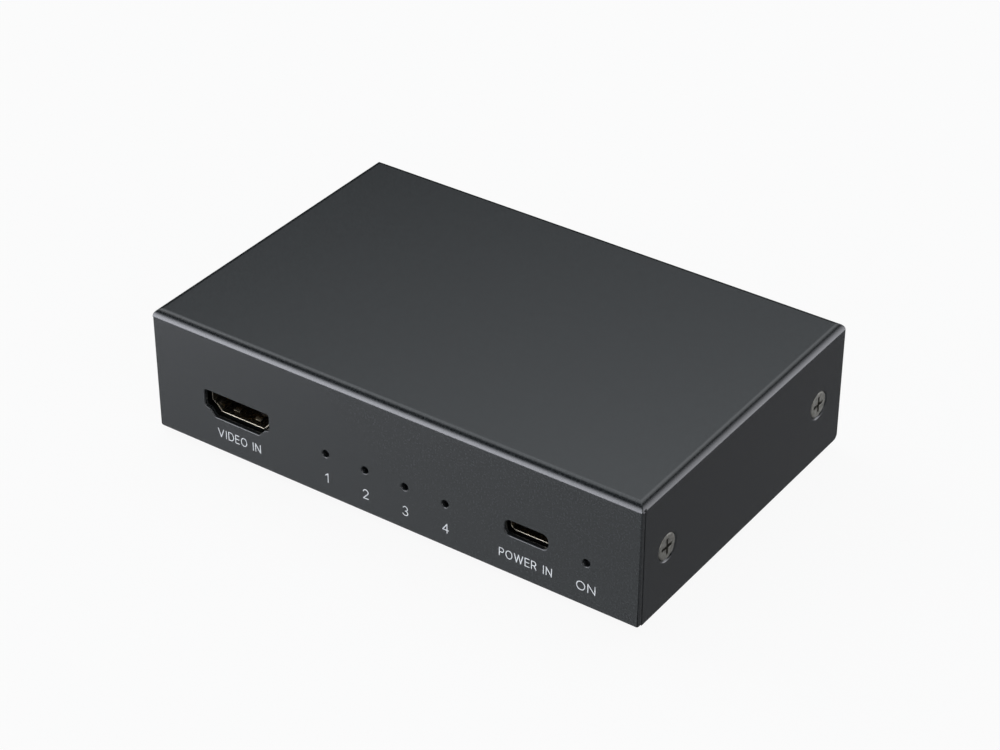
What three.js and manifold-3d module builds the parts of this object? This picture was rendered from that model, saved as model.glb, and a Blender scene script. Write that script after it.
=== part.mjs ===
// One-input, four-output video splitter in a folded sheet-steel case, as its separate pieces.
// Millimetres. X runs along the front panel, Y from the front panel to the rear panel, Z up.
// The origin is the middle of the footprint, on the surface that the rubber feet stand on.
import * as THREE from "three";
import { mergeVertices } from "three/addons/utils/BufferGeometryUtils.js";
import Module from "manifold-3d";

// Case: the cover is one folded sheet, the base a shallow channel inside its open underside.
const caseWidth = 108;
const caseDepth = 70;
const caseHeight = 26; // cover alone, without the feet
const sheet = 1; // thickness of the cover and of the base
const bendRadius = 1.6; // outside of every bend
const seamGap = 0.15; // open seam beside a flange
const seamTop = 1; // from the top face down to the end of a seam
const frontFlangeInset = 0.1; // the front flange ends this far inside the side faces
const reliefRadius = 0.25; // round end of a seam
const cornerRadius = 1.1; // rear lower corners of the side flanges
const panelCornerRadius = 0.5; // lower corners of the front panel
const coverFit = 0.3; // between the cover and the base inside it
const sideFlangeHeight = 17; // upturned sides of the base, from the underside of the case
const flangeEndCut = 3; // the base's upturned sides stop this far short of its ends

// Fits between neighbouring pieces
const seat = 0.05; // between faces that rest on each other
const threadGap = 0.15; // round a screw's core, where the thread form is left out
const slotGap = 0.25; // round a connector leg in its board slot
const mouldFit = 0.1; // round a moulding inside its metal shell
const countersinkFit = 0.3; // round a countersunk head

// Feet
const footHeight = 1.5;
const footEdge = 0.45; // bevel round the underside
const footRadius = 4;
const footFromSide = 8;
const footFromEnd = 8;

// Side screws, M3 countersunk, driven from the left and the right
const sideScrewFromEnd = 8.6; // from the front face and from the rear face
const sideScrewHeight = 12.4; // from the underside of the case
const sideScrewHeadRadius = 2.6;
const sideScrewRim = 0.1; // straight edge of the head
const sideScrewSunk = 0.1; // head below the side face
const sideScrewLength = 5;
const screwCoreRadius = 1.3; // M3 at the root of its thread
const tappedBossRadius = 2.4; // burred collar round a tapped hole
const tappedBossLength = 1.2;
const recessLength = 3.3; // cross recess, tip to tip
const recessWidth = 0.5;
const recessDepth = 0.8;

// Board on four clinched standoffs
const standoffHeight = 4.5;
const standoffRadius = 2.5;
const clinchRadius = 1.9; // shank held in the base
const standoffFromSide = 8.5;
const standoffFromEnd = 18;
const boardThickness = 1.6;
const boardEdgeGap = 1; // to the inside of the front and rear panels
const boardSideGap = 1.2; // to the base's upturned sides
const boardCornerRadius = 1.5;
const boardHoleRadius = 1.65;
const boardScrewHeadRadius = 2.75;
const boardScrewHeadHeight = 1.8;
const boardScrewHeadCrown = 2.06; // radius of the head's flat top
const boardScrewLength = 5; // under the head

// Video connector, D-shaped with the wide side up. Sizes are those of the panel cut-out.
const videoCutWidth = 15.2;
const videoCutHeight = 5.35;
const videoCutSide = 3.5; // straight part of each side, from the top
const videoCutFloor = 10.5; // flat part of the underside
const videoShoulderWidth = 1.1;
const videoShoulderDrop = 0.4;
const videoCutCorner = 0.5;
const videoShellFit = 0.2; // between the panel cut-out and the shell's outline
const videoShellWall = 0.32;
const videoShellDepth = 11;
const videoAxisHeight = 2.76; // above the board
const videoTongueWidth = 11.6;
const videoTongueThickness = 1.2;
const videoTongueSetback = 2; // behind the shell's mouth
const videoBlockDepth = 3.5; // solid moulding at the back of the shell
const videoLegWidth = 1.4;
const videoLegFirst = 2.6; // from the mouth to the first pair of legs
const videoLegPitch = 6;
const shellSetback = 0.65; // shell mouths behind the inside of the panel
const videoInFromLeft = 19.3;
const outerVideoOutFromSide = 21;
const videoOutCount = 4;

// Power socket, the small reversible kind, raised on a spacer
const socketCutWidth = 9.15;
const socketCutHeight = 3.2;
const socketCutCorner = 1.25;
const socketShellFit = 0.08;
const socketShellWall = 0.28;
const socketShellDepth = 7.3;
const socketAxisHeight = 2.85; // above the board
const socketTongueWidth = 6.7;
const socketTongueThickness = 0.7;
const socketTongueSetback = 0.8;
const socketBlockDepth = 1.8;
const socketSpacerWidth = 7.4;
const socketSpacerInset = 0.6; // spacer behind the shell's mouth
const socketLegWidth = 1.1;
const socketLegFirst = 1.6;
const socketLegPitch = 4;
const powerSocketFromRight = 23.6;

// Indicators: right-angle lamps that look out through plain holes in the front panel
const lampHoleRadius = 0.73;
const lampPitch = 8.93;
const lampCount = 4;
const lampRowShift = 0.2; // from the middle of the space between the two front connectors
const powerLampFromRight = 11.05;
const lampAxisHeight = 2.2; // above the board
const lampWidth = 2.6;
const lampDepth = 2.4;
const lampHoodHeight = 1.3; // body above the lamp's axis
const lampLensRadius = 1;
const lampLensLength = 0.5;
const lampLensCrown = 0.7; // radius of the lens's flat middle
const lampLensSide = 0.2; // straight part of the lens before its dome
const lampGap = 0.15; // lens to the inside of the panel

// Parts on the board. Places are from the middle of the board unless they say otherwise.
const splitterSize = 14;
const splitterHeight = 1.2;
const splitterY = 3;
const tapeSize = 13;
const tapeThickness = 0.5;
const heatSinkSize = 15;
const heatSinkBase = 1.5;
const heatSinkHeight = 6.5;
const heatSinkFins = 6;
const heatSinkFinThickness = 1;
const controllerSize = 7;
const controllerX = 17;
const controllerY = -3;
const controllerHeight = 1;
const guardWidth = 4.2; // surge guard between each connector and the splitter chip
const guardDepth = 2.4;
const guardHeight = 0.8;
const guardGap = 1.4; // behind its connector's shell
const regulatorWidth = 5;
const regulatorDepth = 4;
const regulatorHeight = 1.5;
const supplyGap = 1; // between neighbours in the supply row
const coilSize = 6;
const coilHeight = 3;
const coilCorner = 1;
const crystalX = -19;
const crystalY = 2;
const crystalWidth = 11;
const crystalDepth = 4.6;
const crystalHeight = 3.6;
const canRadius = 2.5;
const canHeight = 5.4;
const canBaseSize = 5.4;
const canBaseHeight = 0.7;
const canGroove = 0.3; // half the height of the groove rolled round a can
const canNeck = 2.25; // radius at the bottom of the groove
const canGrooveStart = 1.2; // above the board
const chipDraft = 0.15; // slope of a chip's sides, as a share of its height

const roundSegments = 20;
const bendSegments = 5; // in each quarter turn
const leastCorner = 0.15; // smallest round of an inner corner
const weld = 1e-4; // vertices closer than this are one

// Heights and faces that several pieces share
const caseBottom = footHeight;
const caseTop = caseBottom + caseHeight;
const sideFace = caseWidth / 2;
const frontFace = -caseDepth / 2;
const baseHalfWidth = sideFace - sheet - coverFit;
const baseHalfDepth = caseDepth / 2 - sheet - coverFit;
const boardBottom = caseBottom + sheet + standoffHeight + 2 * seat;
const boardTop = boardBottom + boardThickness;
const boardHalfWidth = baseHalfWidth - sheet - boardSideGap;
const boardHalfDepth = caseDepth / 2 - sheet - boardEdgeGap;
const mouth = caseDepth / 2 - sheet - shellSetback; // distance of the shells' mouths from the middle
const videoAxis = boardTop + videoAxisHeight;
const socketAxis = boardTop + socketAxisHeight;
const lampAxis = boardTop + lampAxisHeight;
const screwAxis = caseBottom + sideScrewHeight;
const screwY = caseDepth / 2 - sideScrewFromEnd;
const standoffX = sideFace - standoffFromSide;
const standoffY = caseDepth / 2 - standoffFromEnd;
const videoInX = videoInFromLeft - sideFace;
const powerSocketX = sideFace - powerSocketFromRight;
const powerLampX = sideFace - powerLampFromRight;
const frontPortsMiddle = (videoInX + videoCutWidth / 2 + powerSocketX - socketCutWidth / 2) / 2;
const lampXs = Array.from({ length: lampCount }, (_, i) => {
  return frontPortsMiddle + lampRowShift + lampPitch * (i - (lampCount - 1) / 2);
});
const outerVideoOutX = sideFace - outerVideoOutFromSide;
const videoOutXs = Array.from({ length: videoOutCount }, (_, i) => {
  return outerVideoOutX * (1 - (2 * i) / (videoOutCount - 1));
});
const corners = [
  { name: "front_left", x: -1, y: -1 },
  { name: "front_right", x: 1, y: -1 },
  { name: "rear_left", x: -1, y: 1 },
  { name: "rear_right", x: 1, y: 1 },
];

const wasm = await Module();
wasm.setup();

// ---- Outlines ----

function polygon(points) {
  return new THREE.Shape(points.map(([x, y]) => new THREE.Vector2(x, y)));
}

function rectangle(width, height) {
  const [x, y] = [width / 2, height / 2];
  return polygon([[-x, -y], [x, -y], [x, y], [-x, y]]);
}

// A rectangle with four round corners.
function roundedRectangle(width, height, radius) {
  const [x, y] = [width / 2 - radius, height / 2 - radius];
  const shape = new THREE.Shape();
  shape.absarc(x, y, radius, 0, Math.PI / 2);
  shape.absarc(-x, y, radius, Math.PI / 2, Math.PI);
  shape.absarc(-x, -y, radius, Math.PI, Math.PI * 1.5);
  shape.absarc(x, -y, radius, Math.PI * 1.5, Math.PI * 2);
  return shape;
}

// A block seen from its end, round at the two upper edges: from the bottom up to the top.
function roundTopped(width, bottom, top, radius) {
  const x = width / 2 - radius;
  const shape = new THREE.Shape();
  shape.moveTo(-width / 2, bottom);
  shape.lineTo(width / 2, bottom);
  shape.absarc(x, top - radius, radius, 0, Math.PI / 2);
  shape.absarc(-x, top - radius, radius, Math.PI / 2, Math.PI);
  return shape;
}

// Moves every side of a counter-clockwise outline inwards by a distance.
function inset(points, distance) {
  const lines = points.map(([x, y], i) => {
    const [nextX, nextY] = points[(i + 1) % points.length];
    const length = Math.hypot(nextX - x, nextY - y);
    const [dx, dy] = [(nextX - x) / length, (nextY - y) / length];
    return { x: x - dy * distance, y: y + dx * distance, dx, dy };
  });
  return lines.map((line, i) => {
    const before = lines[(i + lines.length - 1) % lines.length];
    const cross = before.dx * line.dy - before.dy * line.dx;
    const along = ((line.x - before.x) * line.dy - (line.y - before.y) * line.dx) / cross;
    return [before.x + before.dx * along, before.y + before.dy * along];
  });
}

// The video connector's outline about its own middle, reduced all round by a distance.
function videoOutline(distance) {
  const [x, top] = [videoCutWidth / 2, videoCutHeight / 2];
  const shoulder = top - videoCutSide;
  const [innerX, innerY] = [x - videoShoulderWidth, shoulder - videoShoulderDrop];
  const floorX = videoCutFloor / 2;
  const points = inset([
    [-floorX, -top], [floorX, -top], [innerX, innerY], [x, shoulder],
    [x, top], [-x, top], [-x, shoulder], [-innerX, innerY],
  ], distance);
  const radius = Math.max(videoCutCorner - distance, leastCorner);
  const [cornerX, cornerY] = [points[4][0] - radius, points[4][1] - radius];
  const shape = polygon(points.slice(0, 4));
  shape.absarc(cornerX, cornerY, radius, 0, Math.PI / 2);
  shape.absarc(-cornerX, cornerY, radius, Math.PI / 2, Math.PI);
  shape.lineTo(...points[6]);
  shape.lineTo(...points[7]);
  return shape;
}

function socketOutline(distance) {
  const width = socketCutWidth - 2 * distance;
  const height = socketCutHeight - 2 * distance;
  return roundedRectangle(width, height, socketCutCorner - distance);
}

// ---- Solids ----

function extrude(shape, length, curveSegments = bendSegments) {
  return new THREE.ExtrudeGeometry(shape, { depth: length, bevelEnabled: false, curveSegments });
}

// An outline in (x, y) raised from one height to another.
function upright(shape, low, high, curveSegments) {
  return extrude(shape, high - low, curveSegments).translate(0, 0, low);
}

// An outline in (x, z) stretched along Y.
function alongY(shape, low, high, curveSegments) {
  return extrude(shape, high - low, curveSegments).rotateX(Math.PI / 2).translate(0, high, 0);
}

// An outline in (y, z) stretched along X.
function alongX(shape, low, high, curveSegments) {
  const turn = new THREE.Matrix4().makeBasis(
    new THREE.Vector3(0, 1, 0), new THREE.Vector3(0, 0, 1), new THREE.Vector3(1, 0, 0));
  return extrude(shape, high - low, curveSegments).applyMatrix4(turn).translate(low, 0, 0);
}

function block(x0, x1, y0, y1, z0, z1) {
  const box = new THREE.BoxGeometry(x1 - x0, y1 - y0, z1 - z0);
  return box.translate((x0 + x1) / 2, (y0 + y1) / 2, (z0 + z1) / 2);
}

function rod(radius, low, high) {
  const cylinder = new THREE.CylinderGeometry(radius, radius, high - low, roundSegments);
  return cylinder.rotateX(Math.PI / 2).translate(0, 0, (low + high) / 2);
}

// A round piece on the Z axis from its half section, a list of (radius, height) that starts
// and ends on the axis and runs upwards.
function turned(section) {
  const points = section.map(([radius, height]) => new THREE.Vector2(radius, height));
  return new THREE.LatheGeometry(points, roundSegments).rotateX(Math.PI / 2);
}

function solid(geometry) {
  const bare = geometry.clone();
  bare.deleteAttribute("normal");
  bare.deleteAttribute("uv");
  const merged = mergeVertices(bare, weld);
  return new wasm.Manifold(new wasm.Mesh({
    numProp: 3,
    vertProperties: merged.attributes.position.array,
    triVerts: new Uint32Array(merged.index.array),
  }));
}

// Joins and cuts closed geometries: body, plus each of added, minus each of removed.
function combine(body, added, removed) {
  let result = solid(body);
  for (const piece of added) result = result.add(solid(piece));
  for (const piece of removed) result = result.subtract(solid(piece));
  return surface(result);
}

function surface(made) {
  const { vertProperties, triVerts } = made.getMesh();
  const geometry = new THREE.BufferGeometry();
  geometry.setAttribute("position", new THREE.BufferAttribute(vertProperties, 3));
  geometry.setIndex(new THREE.BufferAttribute(triVerts, 1));
  geometry.computeVertexNormals();
  return geometry;
}

// ---- Finishes ----

const finishes = {
  powderCoat: { color: 0x46484a, roughness: 0.45, metalness: 0.4 },
  screwSteel: { color: 0x6e7072, roughness: 0.35, metalness: 0.9 },
  zincSteel: { color: 0xb4b6b8, roughness: 0.35, metalness: 1 },
  nickelShell: { color: 0xa8a49a, roughness: 0.3, metalness: 1 },
  blackMoulding: { color: 0x151515, roughness: 0.5, metalness: 0 },
  solderMask: { color: 0x131615, roughness: 0.4, metalness: 0 },
  smokedLens: { color: 0x1a1a1a, roughness: 0.2, metalness: 0 },
  chipEpoxy: { color: 0x1c1c1e, roughness: 0.6, metalness: 0 },
  blackAnodised: { color: 0x202124, roughness: 0.4, metalness: 0.8 },
  thermalTape: { color: 0x8e9aa6, roughness: 0.8, metalness: 0 },
  ferrite: { color: 0x2b2b2c, roughness: 0.7, metalness: 0 },
  tinnedCan: { color: 0xc4c6c8, roughness: 0.3, metalness: 1 },
  rubber: { color: 0x161616, roughness: 0.9, metalness: 0 },
};

const splitter = new THREE.Group();

function add(name, geometry, finish, parent = splitter) {
  const mesh = new THREE.Mesh(geometry, new THREE.MeshStandardMaterial(finishes[finish]));
  mesh.name = name;
  parent.add(mesh);
  return mesh;
}

// ---- Case ----

// A box with its four upper edges bent round and mitred where they meet.
function bentBox(width, depth, bottom, top, radius) {
  const sides = solid(alongY(roundTopped(width, bottom, top, radius), -depth / 2, depth / 2));
  const ends = solid(alongX(roundTopped(depth, bottom, top, radius), -width / 2, width / 2));
  return sides.intersect(ends);
}

// The seams beside a front corner and a rear corner of the right-hand side flange, and the
// rounded lower corners. The side is 1 for the right of the case and -1 for the left.
function cornerCuts(side) {
  const below = caseBottom - sheet;
  const seamEnd = caseTop - seamTop - reliefRadius;
  const span = (a, b, y0, y1, z1) => {
    return block(Math.min(side * a, side * b), Math.max(side * a, side * b), y0, y1, below, z1);
  };
  const behindFront = frontFace + sheet;
  const frontSeam = span(sideFace - sheet, sideFace + sheet, behindFront, behindFront + seamGap, seamEnd);
  const frontInset = span(sideFace - frontFlangeInset, sideFace + sheet,
    frontFace - sheet, behindFront + seamGap / 2, caseTop - bendRadius);
  const rearSeam = span(sideFace - sheet - seamGap, sideFace - sheet,
    -frontFace - sheet - bendRadius, -frontFace + sheet, seamEnd);
  const relief = rod(reliefRadius, -sheet, sheet);
  const frontRelief = relief.clone().rotateY(Math.PI / 2)
    .translate(side * sideFace, behindFront + seamGap / 2, seamEnd);
  const rearRelief = relief.clone().rotateX(Math.PI / 2)
    .translate(side * (sideFace - sheet - seamGap / 2), -frontFace, seamEnd);
  return [frontSeam, frontInset, rearSeam, frontRelief, rearRelief];
}

// What is left outside a quarter circle in the corner of a flange, as a prism outline. The
// corner points towards (cornerA, cornerB), each 1 or -1.
function outsideCorner(a, b, cornerA, cornerB, radius) {
  const spare = sheet;
  const shape = new THREE.Shape();
  const middleA = a - cornerA * radius;
  const middleB = b - cornerB * radius;
  const points = [[middleA, b + cornerB * spare], [a + cornerA * spare, b + cornerB * spare],
    [a + cornerA * spare, middleB]];
  for (let i = 0; i <= bendSegments; i++) {
    const angle = (Math.PI / 2) * (i / bendSegments);
    points.push([middleA + cornerA * radius * Math.cos(angle), middleB + cornerB * radius * Math.sin(angle)]);
  }
  if (cornerA * cornerB > 0) points.reverse();
  shape.setFromPoints(points.map(([x, y]) => new THREE.Vector2(x, y)));
  return shape;
}

function coverGeometry() {
  const outer = bentBox(caseWidth, caseDepth, caseBottom, caseTop, bendRadius);
  const inner = bentBox(caseWidth - 2 * sheet, caseDepth - 2 * sheet,
    caseBottom - sheet, caseTop - sheet, bendRadius - sheet);
  const [inside, outside] = [caseDepth / 2 - 2 * sheet, caseDepth / 2 + sheet];
  const cuts = [];
  for (const side of [-1, 1]) {
    cuts.push(...cornerCuts(side));
    const rearCorner = outsideCorner(-frontFace, caseBottom, 1, -1, cornerRadius);
    const panelCorner = outsideCorner(side * (sideFace - frontFlangeInset), caseBottom, side, -1,
      panelCornerRadius);
    cuts.push(alongX(rearCorner, Math.min(side * (sideFace - sheet), side * (sideFace + sheet)),
      Math.max(side * (sideFace - sheet), side * (sideFace + sheet))));
    cuts.push(alongY(panelCorner, frontFace - sheet, frontFace + sheet));
    for (const end of [-1, 1]) {
      cuts.push(countersink().rotateY((side * Math.PI) / 2)
        .translate(side * sideFace, end * screwY, screwAxis));
    }
  }
  for (const x of videoOutXs) {
    cuts.push(alongY(videoOutline(0), inside, outside).translate(x, 0, videoAxis));
  }
  cuts.push(alongY(videoOutline(0), -outside, -inside).translate(videoInX, 0, videoAxis));
  cuts.push(alongY(socketOutline(0), -outside, -inside).translate(powerSocketX, 0, socketAxis));
  for (const x of [...lampXs, powerLampX]) {
    cuts.push(rod(lampHoleRadius, -sheet, 2 * sheet).rotateX(Math.PI / 2).translate(x, frontFace, lampAxis));
  }
  let cover = outer.subtract(inner);
  for (const cut of cuts) cover = cover.subtract(solid(cut));
  return surface(cover);
}

// A 90 degree countersink through the cover, its axis along Z and its mouth at height 0.
function countersink() {
  const radius = sideScrewHeadRadius + countersinkFit;
  return turned([[0, -2 * sheet], [radius - sheet, -2 * sheet], [radius - sheet, -sheet], [radius, 0],
    [radius, sheet], [0, sheet]]);
}

function baseGeometry() {
  const radius = bendRadius;
  const flangeTop = caseBottom + sideFlangeHeight;
  const outer = alongY(roundTopped(2 * baseHalfWidth, -flangeTop, -caseBottom, radius),
    -baseHalfDepth, baseHalfDepth).rotateY(Math.PI);
  const inner = alongY(roundTopped(2 * (baseHalfWidth - sheet), -flangeTop - sheet,
    -caseBottom - sheet, radius - sheet), -caseDepth, caseDepth).rotateY(Math.PI);
  const bosses = [];
  const cuts = [inner];
  for (const side of [-1, 1]) {
    for (const end of [-1, 1]) {
      const boss = rod(tappedBossRadius, -sheet - tappedBossLength, -sheet / 2);
      const hole = rod(screwCoreRadius + threadGap, -2 * sheet - tappedBossLength, sheet);
      const place = (piece) => {
        return piece.rotateY((side * Math.PI) / 2).translate(side * baseHalfWidth, end * screwY, screwAxis);
      };
      bosses.push(place(boss));
      cuts.push(place(hole));
      cuts.push(rod(clinchRadius + threadGap, 0, flangeTop).translate(side * standoffX, end * standoffY, 0));
    }
    const endCut = baseHalfDepth - flangeEndCut;
    for (const [y0, y1] of [[-caseDepth, -endCut], [endCut, caseDepth]]) {
      cuts.push(block(Math.min(0, side * caseWidth), Math.max(0, side * caseWidth), y0, y1,
        caseBottom + radius, caseTop));
    }
  }
  let base = solid(outer).subtract(solid(cuts.shift()));
  for (const boss of bosses) base = base.add(solid(boss));
  for (const cut of cuts) base = base.subtract(solid(cut));
  return surface(base);
}

// Two crossed slots, their mouth at height 0.
function crossRecess(depth) {
  const [half, slot] = [recessLength / 2, recessWidth / 2];
  const across = block(-half, half, -slot, slot, -depth, sheet);
  return [across, across.clone().rotateZ(Math.PI / 2)];
}

// A countersunk screw along Z, its head's face at height 0.
function sideScrewGeometry() {
  const headDepth = sheet + coverFit - sideScrewSunk - seat;
  const body = turned([[0, -sideScrewLength], [screwCoreRadius - threadGap, -sideScrewLength],
    [screwCoreRadius, threadGap - sideScrewLength], [screwCoreRadius, -headDepth],
    [sideScrewHeadRadius, -sideScrewRim], [sideScrewHeadRadius, 0], [0, 0]]);
  return combine(body, [], crossRecess(recessDepth));
}

// A pan-head screw along Z, the underside of its head at height 0.
function boardScrewGeometry() {
  const body = turned([[0, -boardScrewLength], [screwCoreRadius - threadGap, -boardScrewLength],
    [screwCoreRadius, threadGap - boardScrewLength], [screwCoreRadius, 0], [boardScrewHeadRadius, 0],
    [boardScrewHeadRadius, boardScrewHeadHeight / 2], [boardScrewHeadCrown, boardScrewHeadHeight],
    [0, boardScrewHeadHeight]]);
  const recess = crossRecess(recessDepth).map((slot) => slot.translate(0, 0, boardScrewHeadHeight));
  return combine(body, [], recess);
}

// A round standoff along Z, its shoulder at height 0 and its clinched shank below.
function standoffGeometry() {
  const bore = screwCoreRadius + threadGap;
  return turned([[bore, -sheet], [clinchRadius, -sheet], [clinchRadius, 0], [standoffRadius, 0],
    [standoffRadius, standoffHeight], [bore, standoffHeight], [bore, -sheet]]);
}

function footGeometry() {
  return turned([[0, 0], [footRadius - footEdge, 0], [footRadius, footEdge],
    [footRadius, footHeight - seat], [0, footHeight - seat]]);
}

add("cover", coverGeometry(), "powderCoat");
add("base_plate", baseGeometry(), "powderCoat");
for (const corner of corners) {
  const sideScrew = add(`side_screw_${corner.name}`, sideScrewGeometry(), "screwSteel");
  sideScrew.rotation.y = (corner.x * Math.PI) / 2;
  sideScrew.position.set(corner.x * (sideFace - sideScrewSunk), corner.y * screwY, screwAxis);

  const foot = add(`rubber_foot_${corner.name}`, footGeometry(), "rubber");
  foot.position.set(corner.x * (sideFace - footFromSide), corner.y * (caseDepth / 2 - footFromEnd), 0);

  const standoff = add(`standoff_${corner.name}`, standoffGeometry(), "zincSteel");
  standoff.position.set(corner.x * standoffX, corner.y * standoffY, caseBottom + sheet + seat);

  const boardScrew = add(`board_screw_${corner.name}`, boardScrewGeometry(), "zincSteel");
  boardScrew.position.set(corner.x * standoffX, corner.y * standoffY, boardTop + seat);
}

// ---- Connectors ----
// Each is made about its own axis: the mouth at y = 0, opening towards -Y, the board below.

// Legs as (x, y) places, one pair per row, for a shell of a given half width.
function legPlaces(halfWidth, wall, first, pitch) {
  const x = halfWidth - wall / 2;
  return [[-x, first], [x, first], [-x, first + pitch], [x, first + pitch]];
}

const videoShellHalf = videoCutWidth / 2 - videoShellFit;
const videoLegs = legPlaces(videoShellHalf, videoShellWall, videoLegFirst, videoLegPitch);
const socketShellHalf = socketCutWidth / 2 - socketShellFit;
const socketLegs = legPlaces(socketShellHalf, socketShellWall, socketLegFirst, socketLegPitch);

// Slots through the board for one connector's legs, in the connector's own frame.
function legSlots(legs, wall, width, axisHeight) {
  const [x, y] = [wall / 2 + slotGap, width / 2 + slotGap];
  return legs.map(([legX, legY]) => {
    return block(legX - x, legX + x, legY - y, legY + y, -axisHeight - 2 * boardThickness, -axisHeight / 2);
  });
}

function legBlocks(legs, wall, width, axisHeight) {
  const bottom = -axisHeight - boardThickness - slotGap;
  return legs.map(([x, y]) => block(x - wall / 2, x + wall / 2, y - width / 2, y + width / 2, bottom, 0));
}

function videoShellGeometry() {
  const outer = alongY(videoOutline(videoShellFit), 0, videoShellDepth);
  const hollow = alongY(videoOutline(videoShellFit + videoShellWall), -sheet,
    videoShellDepth - videoShellWall);
  return combine(outer, legBlocks(videoLegs, videoShellWall, videoLegWidth, videoAxisHeight), [hollow]);
}

function videoMouldingGeometry() {
  const back = videoShellDepth - videoShellWall - mouldFit;
  const fit = videoShellFit + videoShellWall + mouldFit;
  const [x, z] = [videoTongueWidth / 2, videoTongueThickness / 2];
  const tongue = block(-x, x, videoTongueSetback, back - videoBlockDepth / 2, -z, z);
  return combine(alongY(videoOutline(fit), back - videoBlockDepth, back), [tongue], []);
}

function socketShellGeometry() {
  const outer = alongY(socketOutline(socketShellFit), 0, socketShellDepth);
  const hollow = alongY(socketOutline(socketShellFit + socketShellWall), -sheet,
    socketShellDepth - socketShellWall);
  return combine(outer, legBlocks(socketLegs, socketShellWall, socketLegWidth, socketAxisHeight), [hollow]);
}

function socketMouldingGeometry() {
  const back = socketShellDepth - socketShellWall - mouldFit;
  const fit = socketShellFit + socketShellWall + mouldFit;
  const [x, z] = [socketTongueWidth / 2, socketTongueThickness / 2];
  const tongue = block(-x, x, socketTongueSetback, back - socketBlockDepth / 2, -z, z);
  return combine(alongY(socketOutline(fit), back - socketBlockDepth, back), [tongue], []);
}

// A connector's own frame: at a panel, turned round for the rear panel.
function connectorFrame(x, axis, atRear) {
  const frame = new THREE.Group();
  frame.position.set(x, atRear ? mouth : -mouth, axis);
  frame.rotation.z = atRear ? Math.PI : 0;
  splitter.add(frame);
  return frame;
}

function addVideoConnector(name, x, atRear) {
  const frame = connectorFrame(x, videoAxis, atRear);
  add(`${name}_shell`, videoShellGeometry(), "nickelShell", frame);
  add(`${name}_moulding`, videoMouldingGeometry(), "blackMoulding", frame);
}

addVideoConnector("video_in", videoInX, false);
videoOutXs.forEach((x, i) => addVideoConnector(`video_out_${i + 1}`, x, true));

const socketFrame = connectorFrame(powerSocketX, socketAxis, false);
add("power_socket_shell", socketShellGeometry(), "nickelShell", socketFrame);
add("power_socket_moulding", socketMouldingGeometry(), "blackMoulding", socketFrame);
const spacerHeight = socketAxisHeight - socketCutHeight / 2 + socketShellFit;
const spacer = block(-socketSpacerWidth / 2, socketSpacerWidth / 2, socketSpacerInset,
  socketShellDepth, seat - socketAxisHeight, spacerHeight - socketAxisHeight - seat);
add("power_socket_spacer", spacer, "blackMoulding", socketFrame);

// ---- Board and what is soldered to it ----

function boardGeometry() {
  const shape = roundedRectangle(2 * boardHalfWidth, 2 * boardHalfDepth, boardCornerRadius);
  const cuts = corners.map((corner) => {
    return rod(boardHoleRadius, 0, caseTop).translate(corner.x * standoffX, corner.y * standoffY, 0);
  });
  const videoSlots = (x, atRear) => {
    for (const slot of legSlots(videoLegs, videoShellWall, videoLegWidth, videoAxisHeight)) {
      const turned = atRear ? slot.rotateZ(Math.PI) : slot;
      cuts.push(turned.translate(x, atRear ? mouth : -mouth, videoAxis));
    }
  };
  videoSlots(videoInX, false);
  for (const x of videoOutXs) videoSlots(x, true);
  for (const slot of legSlots(socketLegs, socketShellWall, socketLegWidth, socketAxisHeight)) {
    cuts.push(slot.translate(powerSocketX, -mouth, socketAxis));
  }
  return combine(upright(shape, boardBottom, boardTop), [], cuts);
}

add("circuit_board", boardGeometry(), "solderMask");

// A right-angle lamp: its body stands on the board and its round lens looks out to -Y.
function lampGeometry() {
  const base = seat - lampAxisHeight;
  const body = block(-lampWidth / 2, lampWidth / 2, lampLensLength, lampLensLength + lampDepth,
    base, lampHoodHeight);
  const lens = turned([[0, -lampLensLength], [lampLensRadius, -lampLensLength],
    [lampLensRadius, lampLensSide], [lampLensCrown, lampLensLength], [0, lampLensLength]]);
  return combine(body, [lens.rotateX(Math.PI / 2).translate(0, lampLensLength, 0)], []);
}

function addLamp(name, x) {
  const lamp = add(name, lampGeometry(), "smokedLens");
  lamp.position.set(x, frontFace + sheet + lampGap, lampAxis);
}

lampXs.forEach((x, i) => addLamp(`port_lamp_${i + 1}`, x));
addLamp("power_lamp", powerLampX);

// A part that stands on the board, made with its underside at height 0.
function addOnBoard(name, geometry, finish, x, y, base = boardTop + seat) {
  add(name, geometry, finish).position.set(x, y, base);
}

function chipGeometry(width, depth, height) {
  const draft = height * chipDraft;
  const shape = rectangle(width - 2 * draft, depth - 2 * draft);
  return new THREE.ExtrudeGeometry(shape, {
    depth: height - 2 * draft, bevelEnabled: true, bevelSegments: 1, bevelSize: draft,
    bevelThickness: draft,
  }).translate(0, 0, draft);
}

// A comb of fins that run front to back on a flat plate.
function heatSinkGeometry() {
  const half = heatSinkSize / 2;
  const pitch = (heatSinkSize - heatSinkFinThickness) / (heatSinkFins - 1);
  const points = [[-half, 0], [half, 0]];
  for (let i = 0; i < heatSinkFins; i++) {
    const right = half - pitch * i;
    const left = right - heatSinkFinThickness;
    if (i > 0) points.push([right, heatSinkBase]);
    points.push([right, heatSinkHeight], [left, heatSinkHeight]);
    if (i < heatSinkFins - 1) points.push([left, heatSinkBase]);
  }
  return alongY(polygon(points), -half, half);
}

function capacitorGeometry() {
  const base = canBaseSize / 2;
  const can = turned([[0, 0], [canRadius, 0], [canRadius, canGrooveStart],
    [canNeck, canGrooveStart + canGroove], [canRadius, canGrooveStart + 2 * canGroove],
    [canRadius, canHeight - canGroove], [canRadius - canGroove, canHeight], [0, canHeight]]);
  return combine(can, [block(-base, base, -base, base, 0, canBaseHeight)], []);
}

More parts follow.
